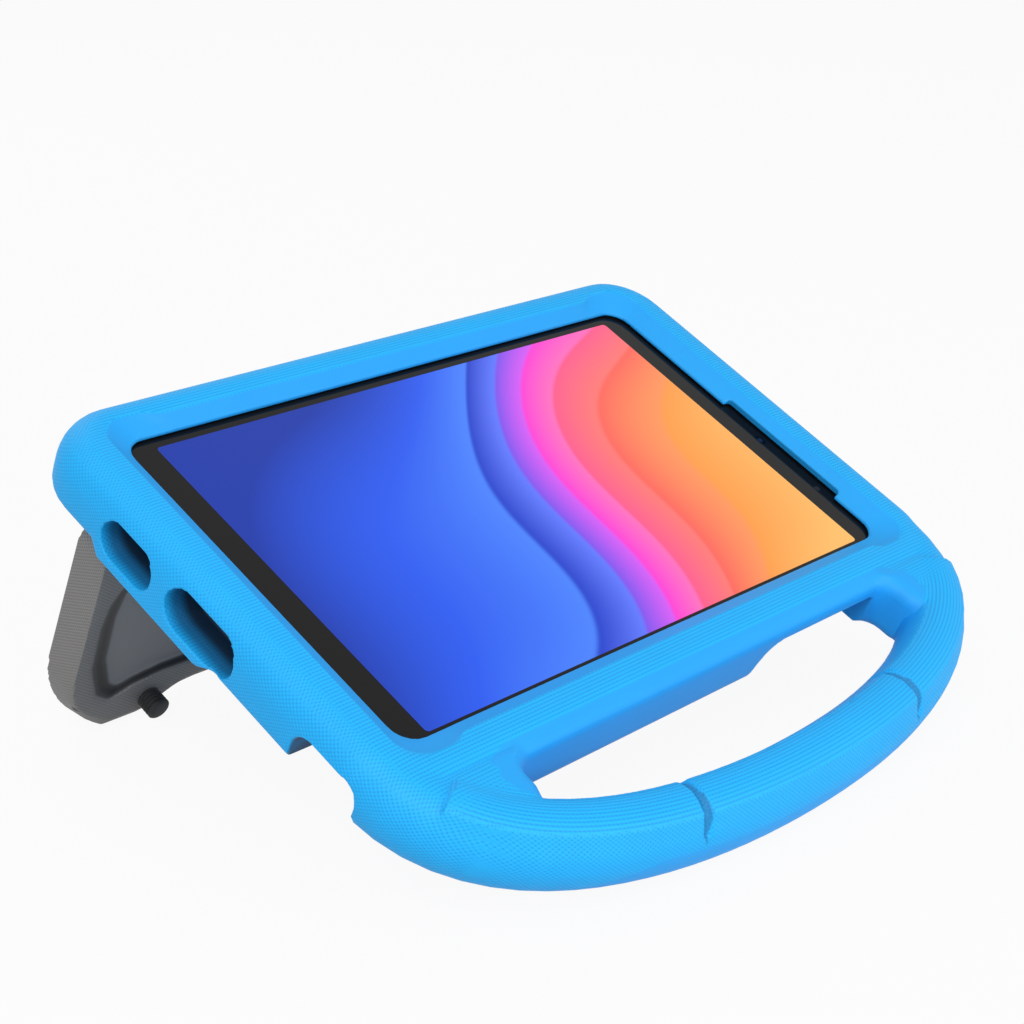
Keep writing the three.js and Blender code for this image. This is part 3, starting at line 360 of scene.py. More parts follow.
def mottle_group() -> EffectGroup:
    """Makes the slow uneven tone and fine grain that moulded and cast surfaces have.

    Returns:
        The group, with Tone and Grain around 0.
    """
    group = EffectGroup(
        "surface_mottle",
        {"Point": "Vector", "Broad": "Float", "Fine": "Float"},
        {"Tone": "Float", "Grain": "Float"},
    )
    wiring = group.wiring
    for output, size, detail in (("Tone", "Broad", 3.0), ("Grain", "Fine", 2.0)):
        noise = wiring.noise(group.given("Point"), group.given(size), detail)
        group.give(output, wiring.maths("SUBTRACT", noise, 0.5))
    return group


@dataclass
class Effects:
    """The node groups that the finishes share."""

    place: CasePlace
    point: EffectGroup = field(init=False)
    relief: EffectGroup = field(init=False)
    mottle: EffectGroup = field(init=False)

    def __post_init__(self) -> None:
        """Builds each group once."""
        self.point = case_point_group(self.place)
        self.relief = moulded_relief_group(ReliefShape())
        self.mottle = mottle_group()


@dataclass
class Sheet:
    """One material under construction: its wiring, its shader and where it is on the case."""

    name: str
    effects: Effects
    material: bpy.types.Material = field(init=False)
    wiring: Wiring = field(init=False)

    def __post_init__(self) -> None:
        """Makes the material with its shader and the case's coordinates."""
        self.material = bpy.data.materials.new(self.name)
        self.material.use_nodes = True
        self.wiring = Wiring(self.material.node_tree)
        self.shader = self.material.node_tree.nodes["Principled BSDF"]
        coordinates = self.wiring.add("ShaderNodeTexCoord")
        self.spot = self.effects.point.place(
            self.wiring,
            Position=coordinates.outputs["Object"],
            Normal=coordinates.outputs["Normal"],
        )

    def set(self, **values) -> None:
        """Sets the shader's own sockets, each named with underscores for its spaces."""
        for name, value in values.items():
            self.wiring.plug(self.shader.inputs[name.replace("_", " ")], value)

    def mottle(self, broad: float, fine: float) -> bpy.types.Node:
        """Adds the uneven tone and grain at two scales per millimetre."""
        point = self.spot.outputs["Point"]
        return self.effects.mottle.place(self.wiring, Point=point, Broad=broad, Fine=fine)

    def bump(self, height, depth: float) -> None:
        """Raises the surface by a height of 0 to 1, over a depth in millimetres."""
        node = self.wiring.add("ShaderNodeBump")
        node.inputs["Strength"].default_value = 1.0
        node.inputs["Distance"].default_value = depth * MM
        self.wiring.plug(node.inputs["Height"], height)
        self.wiring.plug(self.shader.inputs["Normal"], node.outputs["Normal"])

    def attribute(self, name: str) -> bpy.types.NodeSocket:
        """Reads a number stored on the mesh."""
        node = self.wiring.add("ShaderNodeAttribute", attribute_name=name)
        return node.outputs["Fac"]


@dataclass(frozen=True)
class FoamFinish:
    """Matt moulded foam with ribs and weave, plain where the mesh says so. Its lengths are in millimetres."""

    name: str
    # The groove colour is darker than the crest: painted shade in the low parts of the relief.
    groove: Color
    crest: Color
    smooth: Color
    # These two colours are painted shade inside holes, grooves and recesses, the second where it lies
    # furthest in.
    hollow_shade: Color
    deep_shade: Color
    hollow_shade_share: float = 0.75
    roughness: float = 0.6
    specular: float = 0.25
    rib_pitch: float = 1.0
    weave_pitch: float = 1.05
    depth: float = 0.07
    fade: float = 0.3
    relief_shade_range: tuple[float, float] = (0.2, 0.95)
    deep_shade_gap: tuple[float, float] = (-0.3, -0.85)
    mottle: tuple[float, float] = (0.035, 2.2)
    tone: float = 0.10
    roughness_spread: float = 0.12
    grain: float = 0.25

    def build(self, effects: Effects) -> bpy.types.Material:
        """Builds the material.

        Args:
            effects: The shared node groups.

        Returns:
            The finished material.
        """
        sheet = Sheet(self.name, effects)
        wiring = sheet.wiring
        edge = wiring.step(sheet.attribute("smooth_gap"), self.fade, -self.fade)
        # A mask for the painted shade inside holes, grooves and recesses.
        inside = wiring.step(sheet.attribute("hollow_shade_gap"), self.fade, -self.fade)
        sides = {side: sheet.spot.outputs[side] for side in ("Point", "Across", "Along", "Up")}
        relief = effects.relief.place(wiring, **sides, Plain=edge)
        wiring.plug(relief.inputs["Handle Row"], sheet.attribute("handle_row"))
        wiring.plug(relief.inputs["Handle Share"], sheet.attribute("handle_share"))
        relief.inputs["Rib Pitch"].default_value = self.rib_pitch
        relief.inputs["Weave Pitch"].default_value = self.weave_pitch
        mottle = sheet.mottle(*self.mottle)
        height = relief.outputs["Height"]
        # The low parts of the relief take the darker groove colour as painted shade.
        color = wiring.blend(wiring.step(height, *self.relief_shade_range), self.groove, self.crest)
        color = wiring.blend(edge, color, self.smooth)
        # Painted shade inside holes, grooves and recesses, darkest furthest in.
        color = wiring.blend(wiring.maths("MULTIPLY", inside, self.hollow_shade_share), color, self.hollow_shade)
        deep_shade = wiring.step(sheet.attribute("hollow_shade_gap"), *self.deep_shade_gap)
        color = wiring.blend(deep_shade, color, self.deep_shade)
        tone = wiring.maths("MULTIPLY_ADD", mottle.outputs["Tone"], self.tone, 1.0)
        rough = wiring.maths("MULTIPLY_ADD", mottle.outputs["Grain"], self.roughness_spread, self.roughness)
        sheet.set(Base_Color=wiring.scaled(color, tone), Roughness=rough, Specular_IOR_Level=self.specular)
        grain = wiring.maths("MULTIPLY_ADD", mottle.outputs["Grain"], self.grain, height)
        sheet.bump(grain, self.depth)
        return sheet.material


@dataclass(frozen=True)
class PlainFinish:
    """A plain solid finish with its own grain: plastic, rubber, metal, board or foil."""

    name: str
    color: Color
    roughness: float = 0.5
    roughness_spread: float = 0.25
    metallic: float = 0.0
    specular: float = 0.5
    tone: float = 0.24
    broad: float = 0.12
    fine: float = 4.0
    depth: float = 0.03
    brushed: bool = False
    brush_scales: tuple[float, float, float] = (0.4, 9.0, 9.0)

    def build(self, effects: Effects) -> bpy.types.Material:
        """Builds the material.

        Args:
            effects: The shared node groups.

        Returns:
            The finished material.
        """
        sheet = Sheet(self.name, effects)
        wiring = sheet.wiring
        mottle = sheet.mottle(self.broad, self.fine)
        tone = wiring.maths("MULTIPLY_ADD", mottle.outputs["Tone"], self.tone, 1.0)
        grain = mottle.outputs["Grain"]
        if self.brushed:
            stretch = wiring.add("ShaderNodeVectorMath", operation="MULTIPLY")
            wiring.plug(stretch.inputs[0], sheet.spot.outputs["Point"])
            stretch.inputs[1].default_value = self.brush_scales
            grain = wiring.maths("SUBTRACT", wiring.noise(stretch.outputs[0], 1.0), 0.5)
        sheet.set(
            Base_Color=wiring.scaled(self.color[:3], tone),
            Roughness=wiring.maths("MULTIPLY_ADD", grain, self.roughness_spread, self.roughness),
            Metallic=self.metallic,
            Specular_IOR_Level=self.specular,
        )
        sheet.bump(wiring.maths("ADD", grain, 0.5), self.depth)
        return sheet.material


@dataclass(frozen=True)
class ScreenFinish:
    """Cover glass: a glossy black border round a lit display with layered waves of colour.

    A spot on the border has its place, radius and colour. The swell and the ripple have their turn per
    millimetre, start and size.
    """

    name: str = "screen_glass"
    half_length: float = 86.15
    half_width: float = 53.85
    corner: float = 1.2
    border: Color = linear(16, 16, 17)
    spots: tuple[tuple[float, float, float, Color], ...] = (
        (93.3, -8.7, 2.0, linear(5, 6, 12)),
        (93.3, -8.7, 0.8, linear(30, 40, 80)),
        (93.3, -32.4, 0.9, linear(44, 44, 46)),
    )
    slope: tuple[float, float] = (0.0058, -0.0041)
    swell: tuple[float, float, float] = (0.046, 0.7, 0.085)
    ripple: tuple[float, float, float] = (0.055, -0.9, 0.05)
    wave_start: float = 0.43
    unlit_share: float = 0.2
    glow: float = 0.8
    gloss: float = 0.14
    roughness: float = 0.06
    roughness_spread: float = 0.03
    mottle: tuple[float, float] = (0.05, 0.8)
    waves: tuple[tuple[float, tuple[int, int, int]], ...] = (
        (0.00, (26, 58, 170)),
        (0.22, (40, 92, 240)),
        (0.37, (74, 132, 255)),
        (0.38, (30, 66, 205)),
        (0.47, (96, 122, 255)),
        (0.48, (132, 84, 238)),
        (0.555, (214, 92, 246)),
        (0.565, (255, 62, 214)),
        (0.65, (255, 112, 190)),
        (0.66, (255, 92, 142)),
        (0.76, (255, 122, 118)),
        (0.77, (255, 104, 92)),
        (0.87, (255, 152, 92)),
        (0.88, (255, 158, 72)),
        (1.00, (255, 192, 104)),
    )

    def picture(self, wiring: Wiring, x, y) -> bpy.types.NodeSocket:
        """Draws the layered waves over the display.

        Args:
            wiring: The material's tree.
            x: Millimetres along the screen.
            y: Millimetres across the screen.

        Returns:
            The colour.
        """
        rises = [wiring.maths("MULTIPLY", way, rise) for way, rise in zip((x, y), self.slope)]
        value = wiring.maths("ADD", *rises)
        for way, (turn, start, size) in ((y, self.swell), (x, self.ripple)):
            bend = wiring.maths("SINE", wiring.maths("MULTIPLY_ADD", way, turn, start))
            value = wiring.maths("MULTIPLY_ADD", bend, size, value)
        value = wiring.maths("ADD", value, self.wave_start)
        ramp = wiring.add("ShaderNodeValToRGB")
        wiring.plug(ramp.inputs[0], value)
        stops = ramp.color_ramp.elements
        stops[0].position, stops[0].color = self.waves[0][0], linear(*self.waves[0][1])
        stops[1].position, stops[1].color = self.waves[-1][0], linear(*self.waves[-1][1])
        for position, color in self.waves[1:-1]:
            stops.new(position).color = linear(*color)
        return ramp.outputs["Color"]

    def inside(self, wiring: Wiring, x, y) -> bpy.types.NodeSocket:
        """Returns 1 on the display and 0 on the border round it."""
        overs = []
        for way, half in ((x, self.half_length), (y, self.half_width)):
            far = wiring.maths("SUBTRACT", wiring.maths("ABSOLUTE", way), half - self.corner)
            overs.append(wiring.maths("MAXIMUM", far, 0.0))
        return wiring.maths("LESS_THAN", wiring.reach(*overs), self.corner)

    def build(self, effects: Effects) -> bpy.types.Material:
        """Builds the material.

        Args:
            effects: The shared node groups.

        Returns:
            The finished material.
        """
        sheet = Sheet(self.name, effects)
        wiring = sheet.wiring
        split = wiring.add("ShaderNodeSeparateXYZ")
        wiring.plug(split.inputs[0], sheet.spot.outputs["Point"])
        x, y, _ = split.outputs
        picture = self.picture(wiring, x, y)
        shown = self.inside(wiring, x, y)
        border = self.border
        for spot_x, spot_y, radius, color in self.spots:
            away = wiring.reach(wiring.maths("SUBTRACT", x, spot_x), wiring.maths("SUBTRACT", y, spot_y))
            border = wiring.blend(wiring.maths("LESS_THAN", away, radius), border, color)
        lit = wiring.blend(shown, (0.0, 0.0, 0.0, 1.0), picture)
        mottle = sheet.mottle(*self.mottle)
        rough = wiring.maths("MULTIPLY_ADD", mottle.outputs["Tone"], self.roughness_spread, self.roughness)
        sheet.set(
            Base_Color=wiring.blend(shown, border, wiring.scaled(picture, self.unlit_share)),
            Roughness=rough,
            Specular_IOR_Level=self.gloss,
            Emission_Color=lit,
            Emission_Strength=self.glow,
        )
        return sheet.material


def add_piece(name: str, data: bpy.types.ID) -> bpy.types.Object:
    """Adds an object to the scene.

    Args:
        name: The piece's name.
        data: Its mesh in metres, its lamp or its camera.

    Returns:
        The new object.
    """
    piece = bpy.data.objects.new(name, data)
    bpy.context.scene.collection.objects.link(piece)
    return piece


@dataclass(frozen=True)
class EvenMesh:
    """How a solid is made into an even mesh with softened edges and even shading.

    A voxel is in millimetres, kept is the share of the faces that stays, and the limit is the largest
    angle in degrees that the shading is averaged over.
    """

    voxel: float
    kept: float
    quick_voxel: float = 1.2
    softening: float = 0.5
    soft_rounds: int = 3
    shading_rounds: int = 14
    shading_limit: float = 13.0


def even_copy(name: str, node: str, place: CasePlace, made_by: EvenMesh) -> bpy.types.Object:
    """Copies a CAD node as an even mesh with softened edges.

    The copy is laid flat first, so that its faces run along its straight edges.

    Args:
        name: The new piece's name.
        node: The CAD node it stands for.
        place: Where the case lies.
        made_by: How the mesh is made.

    Returns:
        The new object.
    """
    lean = Matrix.LocRotScale(place.shift(), place.turn(), None)
    piece = add_piece(name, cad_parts[node].data.copy())
    piece.data.materials.clear()
    piece.data.transform(lean.inverted())
    remesh = piece.modifiers.new("even_faces", "REMESH")
    remesh.mode = "VOXEL"
    voxel = made_by.voxel
    remesh.voxel_size = voxel * MM
    remesh.use_smooth_shade = True
    smooth = piece.modifiers.new("soft_edges", "SMOOTH")
    smooth.factor = made_by.softening
    smooth.iterations = made_by.soft_rounds
    thin = piece.modifiers.new("fewer_faces", "DECIMATE")
    thin.ratio = made_by.kept
    graph = bpy.context.evaluated_depsgraph_get()
    made = bpy.data.meshes.new_from_object(piece.evaluated_get(graph))
    piece.modifiers.clear()
    piece.data = made
    made.transform(lean)
    even_shading(made, made_by.shading_rounds, made_by.shading_limit)
    return piece


def even_shading(mesh: bpy.types.Mesh, rounds: int, limit: float) -> None:
    """Evens the shading over gentle curves and keeps it crisp across edges.

    Args:
        mesh: The mesh.
        rounds: How many times neighbours are averaged.
        limit: The largest angle between neighbours that are averaged, in degrees.
    """
    ends = np.zeros(len(mesh.edges) * 2, np.int32)
    mesh.edges.foreach_get("vertices", ends)
    first, second = ends.reshape(-1, 2).T
    normals = np.zeros(len(mesh.vertices) * 3, np.float32)
    mesh.vertex_normals.foreach_get("vector", normals)
    normals = normals.reshape(-1, 3).astype(float)
    for _ in range(rounds):
        near = np.einsum("ij,ij->i", normals[first], normals[second]) > math.cos(math.radians(limit))
        here, there = first[near], second[near]
        total = normals.copy()
        for axis in range(3):
            total[:, axis] += np.bincount(here, normals[there, axis], len(normals))
            total[:, axis] += np.bincount(there, normals[here, axis], len(normals))
        normals = total / np.maximum(np.linalg.norm(total, axis=1, keepdims=True), 1e-9)
    mesh.normals_split_custom_set_from_vertices(normals.astype(np.float32))


def store(mesh: bpy.types.Mesh, name: str, values: np.ndarray) -> None:
    """Stores one number a vertex on a mesh.

    Args:
        mesh: The mesh.
        name: The attribute's name.
        values: One value a vertex.
    """
    attribute = mesh.attributes.new(name, "FLOAT", "POINT")
    attribute.data.foreach_set("value", values.astype(np.float32))


def vertex_points(mesh: bpy.types.Mesh) -> np.ndarray:
    """Returns the mesh's points, one a row."""
    points = np.zeros(len(mesh.vertices) * 3, np.float32)
    mesh.vertices.foreach_get("co", points)
    return points.reshape(-1, 3).astype(float)


def smooth_step(value: np.ndarray, low: float, high: float) -> np.ndarray:
    """Returns a smooth step of values from low to high, as 0 to 1."""
    share = np.clip((value - low) / (high - low), 0, 1)
    return share * share * (3 - 2 * share)


@dataclass(frozen=True)
class HandleLine:
    """The handle's centre line seen from above: a cubic curve from its left end to its middle."""

    bends: tuple[tuple[float, float], ...] = ((-102.6, -58.0), (-99.5, -93.5), (-50.3, -105.0), (0.0, -105.0))
    height: float = -5.6
    samples: int = 240
    batch: int = 4000

    def curve(self) -> Arrays:
        """Samples the curve.

        Returns:
            Its points, its unit directions, and the length from each point to the middle.
        """
        t = np.linspace(0, 1, self.samples)[:, None]
        a, b, c, d = (np.array(bend) for bend in self.bends)
        points = (1 - t) ** 3 * a + 3 * (1 - t) ** 2 * t * b + 3 * (1 - t) * t * t * c + t ** 3 * d
        steps = np.linalg.norm(np.diff(points, axis=0), axis=1)
        left = np.concatenate([[0.0], np.cumsum(steps)])
        ways = np.gradient(points, axis=0)
        return points, ways / np.linalg.norm(ways, axis=1, keepdims=True), left[-1] - left

    def section(self, points: np.ndarray) -> Arrays:
        """Measures points against the handle.

        Args:
            points: Points of the flat case, one a row.

        Returns:
            The length along the handle from its middle, the distance inwards from its centre line,
            and the height over it.
        """
        curve, ways, left = self.curve()
        flat = np.column_stack([-np.abs(points[:, 0]), points[:, 1]])
        nearest = np.concatenate([
            np.argmin(((part[:, None] - curve[None]) ** 2).sum(axis=2), axis=1)
            for part in np.array_split(flat, max(1, len(flat) // self.batch))
        ])
        offset = flat - curve[nearest]
        way = ways[nearest]
        along = left[nearest] - (offset * way).sum(axis=1)
        inwards = offset[:, 1] * way[:, 0] - offset[:, 0] * way[:, 1]
        return along, inwards, points[:, 2] - self.height


@dataclass
class FoamShell:
    """The blue foam case: one moulding, ribbed and woven outside, plain on the lip.

    Its sizes are in the flat case's millimetres. A hole has its front, back, bottom and top, and the notch
    has its front, back and top. Shade is painted on the walls in the holes and the notch and in the handle's
    grooves; a slope is how fast that painted shade falls off towards a mouth, per millimetre.
    """

    place: CasePlace
    effects: Effects
    mesh: EvenMesh = EvenMesh(voxel=0.55, kept=0.19)
    lip_left: float = -100.0
    lip_right: float = 99.5
    lip_front: float = -60.0
    lip_back: float = 60.3
    lip_corner: float = 8.0
    lip_low: float = -1.5
    lobe: float = 2.1
    lobe_start: float = 20.0
    lobe_full: float = 12.5
    hole_mouth: float = -109.8
    hole_slope: float = 0.15
    hole_end: float = -100.0
    # How far past a hole's edge its painted shade reaches.
    hole_shade_margin: float = 0.6
    holes: tuple[tuple[float, float, float, float], ...] = (
        (18.2, 38.6, -11.7, -0.8),
        (-14.5, 12.2, -11.7, 0.1),
    )
    notch: tuple[float, float, float] = (-56.0, -36.9, -1.9)
    notch_mouth: float = -111.2
    notch_slope: float = 0.6
    handle: HandleLine = HandleLine()
    handle_start: float = -72.0
    handle_full: float = -81.0
    loop_half: float = 78.0
    loop_end_slope: float = 2.0
    band_edge: float = -67.4
    band_end: float = -84.0
    bar_start: float = -78.0
    bar_inner: float = 6.6
    bar_side: float = 1.5
    bar_side_start: float = 55.0
    bar_side_slope: float = 0.4
    groove: float = 43.5
    groove_half: float = 1.3
    groove_low: float = 2.5
    groove_rise: float = 6.0
    groove_least: float = 0.1
    groove_inner_share: float = 0.75
    # How far below 0 the grooves' mark goes, which sets how dark their painted shade is.
    groove_shade: float = -0.08
    # The fourth and fifth colours are painted shade for the holes, the notch and the handle's grooves.
    finish: FoamFinish = FoamFinish(
        "blue_foam",
        linear(6, 155, 233),
        linear(23, 182, 253),
        linear(28, 165, 244),
        linear(17, 87, 135),
        linear(6, 40, 66),
        hollow_shade_share=0.85,
        specular=0.4,
    )

    def lip_distance(self, x: np.ndarray, y: np.ndarray) -> np.ndarray:
        """Measures how far points lie outside the lip's border.

        Args:
            x: Millimetres along the case.
            y: Millimetres across the case.

        Returns:
            The distance in millimetres, below 0 on the lip.
        """
        middle_x = (self.lip_left + self.lip_right) / 2
        middle_y = (self.lip_front + self.lip_back) / 2
        far_x = np.abs(x - middle_x)
        half_x = (self.lip_right - self.lip_left) / 2
        reach = self.lobe * smooth_step(far_x, half_x - self.lobe_start, half_x - self.lobe_full)
        half_y = (self.lip_back - self.lip_front) / 2 + reach
        over_x = far_x - half_x + self.lip_corner
        over_y = np.abs(y - middle_y) - half_y + self.lip_corner
        outside = np.hypot(np.maximum(over_x, 0), np.maximum(over_y, 0))
        return outside + np.minimum(np.maximum(over_x, over_y), 0) - self.lip_corner

    def hole_distance(self, points: np.ndarray) -> np.ndarray:
        """Measures how far points lie outside the holes and the notch at the left end.

        Args:
            points: Points of the flat case, one a row.

        Returns:
            A distance below 0 on the walls inside, where shade is painted, which falls off gently at the
            mouth.
        """
        x, y, z = points.T
        ends = np.maximum((self.hole_mouth - x) * self.hole_slope, x - self.hole_end)
        front, back, top = self.notch
        reach = np.maximum(np.maximum(front - y, y - back), z - top)
        nearest = np.maximum(reach, np.maximum((self.notch_mouth - x) * self.notch_slope, x - self.hole_end))
        for front, back, low, high in self.holes:
            radius = (high - low) / 2
            over_y = np.maximum(np.maximum(front + radius - y, y - back + radius), 0)
            reach = np.hypot(over_y, z - (low + high) / 2) - radius - self.hole_shade_margin
            nearest = np.minimum(nearest, np.where(reach < 0, ends, np.maximum(reach, ends)))
        return nearest

    def smooth_distance(self, points: np.ndarray, along: np.ndarray, inwards: np.ndarray) -> np.ndarray:
        """Measures how far points lie outside the plain bands of the loop and the handle.

        Args:
            points: Points of the flat case, one a row.
            along: Their length along the handle from its middle.
            inwards: Their distance inwards from the handle's centre line.

        Returns:
            The distance in millimetres, below 0 where the foam is plain.
        """
        x, y, z = points.T
        beside = np.maximum(np.abs(x) - self.loop_half, 0) * self.loop_end_slope
        wall = np.maximum(y - self.band_edge, self.band_end - y) + beside
        on_bar = y < self.bar_start
        inner = np.where(on_bar, self.bar_inner - inwards, FAR)
        low_side = z - self.handle.height - self.bar_side
        low_side += np.maximum(along - self.bar_side_start, 0) * self.bar_side_slope
        outer = np.where(on_bar & (inwards < 0), low_side, FAR)
        return np.minimum(wall, np.minimum(inner, outer))

    def groove_distance(self, y: np.ndarray, section: Arrays) -> np.ndarray:
        """Measures how far points lie outside the two grooves across the handle.

        Args:
            y: Millimetres across the case.
            section: What HandleLine.section gives for the points.

        Returns:
            The distance in millimetres, a little below 0 in the grooves where shade is painted, which narrow
            towards the sides.
        """
        along, inwards, height = section
        half = self.groove_half * np.clip((height - self.groove_low) / self.groove_rise, 0, 1)
        half = half * np.where(inwards > 0, self.groove_inner_share, 1.0)
        at_groove = (y < self.handle_start) & (half > self.groove_least)
        away = np.maximum(np.abs(along - self.groove) - half, self.groove_shade)
        return np.where(at_groove, away, FAR)

    def build(self) -> bpy.types.Object:
        """Builds the foam piece from its CAD solid.

        Returns:
            The new object.
        """
        shell = even_copy("foam_shell", "foam_case", self.place, self.mesh)
        points = self.place.to_case(vertex_points(shell.data))
        x, y, z = points.T
        section = self.handle.section(points)
        along, inwards, _ = section
        lip = np.where(z > self.lip_low, self.lip_distance(x, y), FAR)
        smooth = np.minimum(lip, self.smooth_distance(points, along, inwards))
        # The holes, the notch and the handle's grooves are marked for painted shade.
        hollow_shade = np.minimum(self.hole_distance(points), self.groove_distance(y, section))
        store(shell.data, "smooth_gap", np.clip(smooth, -FAR, FAR))
        store(shell.data, "hollow_shade_gap", np.clip(hollow_shade, -FAR, FAR))
        store(shell.data, "handle_row", inwards)
        store(shell.data, "handle_share", smooth_step(-y, -self.handle_start, -self.handle_full))
        shell.data.materials.append(self.finish.build(self.effects))
        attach(shell, "case")
        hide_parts("foam_case")
        return shell


@dataclass
class FoldingStand:
    """The grey stand: woven rim and feet, a smooth recess, and the ribbed rubber peg.

    Its sizes are in the flat case's millimetres. Its recess walls carry painted shade, and its plain plate is
    painted lighter to offset the shadow of the case above it.
    """

    place: CasePlace
    effects: Effects
    mesh: EvenMesh = EvenMesh(voxel=0.6, kept=0.35)
    front: float = 39.0
    recess: float = 3.0
    recess_half: float = 103.5
    recess_low: float = -76.5
    recess_high: float = -30.5
    recess_edge: float = 0.5
    peg_x: float = -79.0
    peg_z: float = -79.5
    peg_radius: float = 3.4
    peg_reach: float = 6.0
    peg_ribs: int = 4
    peg_sides: int = 40
    peg_bevel: float = 0.12
    peg_sunk: float = 0.3
    nose_share: float = 0.72
    nose_edge_share: float = 0.9
    nose_length: float = 0.35
    ribs_start: float = 0.7
    ribs_end: float = 0.5
    rib_crest: float = 0.5
    rib_waist: tuple[float, float] = (0.62, 0.88)
    waist_share: float = 0.86
    stem_radius: float = 2.2
    stem_length: float = 5.9
    # The plain colour, lighter than the rim, is painted light that offsets the shadow of the case above the
    # plate; the fourth and fifth colours are painted shade on the recess walls.
    finish: FoamFinish = FoamFinish(
        "grey_foam",
        linear(104, 103, 102),
        linear(135, 134, 133),
        linear(143, 142, 141),
        linear(50, 49, 49),
        linear(46, 45, 45),
        hollow_shade_share=0.9,
        roughness=0.62,
        specular=0.3,
        depth=0.05,
    )
    rubber: PlainFinish = PlainFinish("black_rubber", linear(26, 30, 30), roughness=0.75, depth=0.05)

    def panel(self) -> bpy.types.Object:
        """Builds the stand's plate from its CAD solid.

        Returns:
            The new object.
        """
        plate = even_copy("stand_plate", "stand", self.place, self.mesh)
        x, y, z = self.place.to_case(vertex_points(plate.data)).T
        depth = y - self.front
        within = (np.abs(x) < self.recess_half) & (z > self.recess_low) & (z < self.recess_high)
        within &= depth < self.recess + 1
        # The recess floor is marked plain, where its colour is painted lighter; its walls are marked for
        # painted shade.
        inside = self.recess_edge - depth
        ramp = np.maximum(inside, depth - self.recess + self.recess_edge)
        store(plate.data, "smooth_gap", np.where(within, inside, 1.0))
        store(plate.data, "hollow_shade_gap", np.where(within, ramp, 1.0))
        plate.data.materials.append(self.finish.build(self.effects))
        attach(plate, "stand")
        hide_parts("stand")
        return plate

    def peg_profile(self) -> list[tuple[float, float]]:
        """Draws the latch peg's half section, from its nose over the ribs to the end of its stem.

        Returns:
            The radius and the distance across the case of each corner.
        """
        radius = self.peg_radius
        top = self.front - self.peg_reach
        foot = self.front - self.peg_sunk
        profile = [(0.0, top), (radius * self.nose_share, top)]
        profile.append((radius * self.nose_edge_share, top + self.nose_length))
        pitch = (foot - top - self.ribs_start - self.ribs_end) / self.peg_ribs
        for rib in range(self.peg_ribs):
            start = top + self.ribs_start + rib * pitch
            profile += [(radius, start), (radius, start + pitch * self.rib_crest)]
            profile += [(radius * self.waist_share, start + pitch * share) for share in self.rib_waist]
        profile += [(radius, foot - self.peg_sunk), (radius, foot), (self.stem_radius, foot)]
        return profile + [(self.stem_radius, foot + self.stem_length), (0.0, foot + self.stem_length)]

    def peg(self) -> bpy.types.Object:
        """Turns the ribbed latch peg and its stem.

        Returns:
            The new object.
        """
        steps = self.peg_sides
        shape = bmesh.new()
        rings = []
        for radius, y in self.peg_profile():
            count = 1 if radius == 0 else steps
            angles = [2 * math.pi * i / steps for i in range(count)]
            rim = np.array([
                (self.peg_x + radius * math.cos(a), y, self.peg_z + radius * math.sin(a)) for a in angles
            ])
            rings.append([shape.verts.new(point) for point in self.place.to_world(rim)])
        for lower, upper in zip(rings, rings[1:]):
            for i in range(steps):
                j = (i + 1) % steps
                picks = ((lower, i), (lower, j), (upper, j), (upper, i))
                corners = [ring[k % len(ring)] for ring, k in picks]
                shape.faces.new(list(dict.fromkeys(corners)))
        bmesh.ops.recalc_face_normals(shape, faces=shape.faces)
        mesh = bpy.data.meshes.new("latch_peg")
        shape.to_mesh(mesh)
        shape.free()
        mesh.shade_smooth()
        peg = add_piece("latch_peg", mesh)
        bevel = peg.modifiers.new("round_edges", "BEVEL")
        bevel.width = self.peg_bevel * MM
        bevel.segments = 2
        peg.data.materials.append(self.rubber.build(self.effects))
        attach(peg, "stand")
        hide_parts("stand_latch_peg")
        return peg

    def build(self) -> list[bpy.types.Object]:
        """Builds the stand's pieces.

        Returns:
            The new objects.
        """
        return [self.panel(), self.peg()]


@dataclass
class StandFastening:
    """The bracket, pin, anchor plate and screws that hold the stand to the case."""

    effects: Effects
    plastic: PlainFinish = PlainFinish("bracket_plastic", linear(72, 72, 74), roughness=0.55)
    steel: PlainFinish = PlainFinish("steel", linear(186, 188, 192), 0.32, metallic=1.0, brushed=True)

    def dress(self) -> list[str]:
        """Gives the fastening's CAD pieces their finishes.

        Returns:
            The names of the dressed nodes.
        """
        metal = ["stand_hinge_pin", "stand_anchor_plate"]
        metal += [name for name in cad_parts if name.startswith("bracket_screw")]
        looks = {"stand_bracket": self.plastic} | {name: self.steel for name in metal}
        return dress_nodes(looks, self.effects)


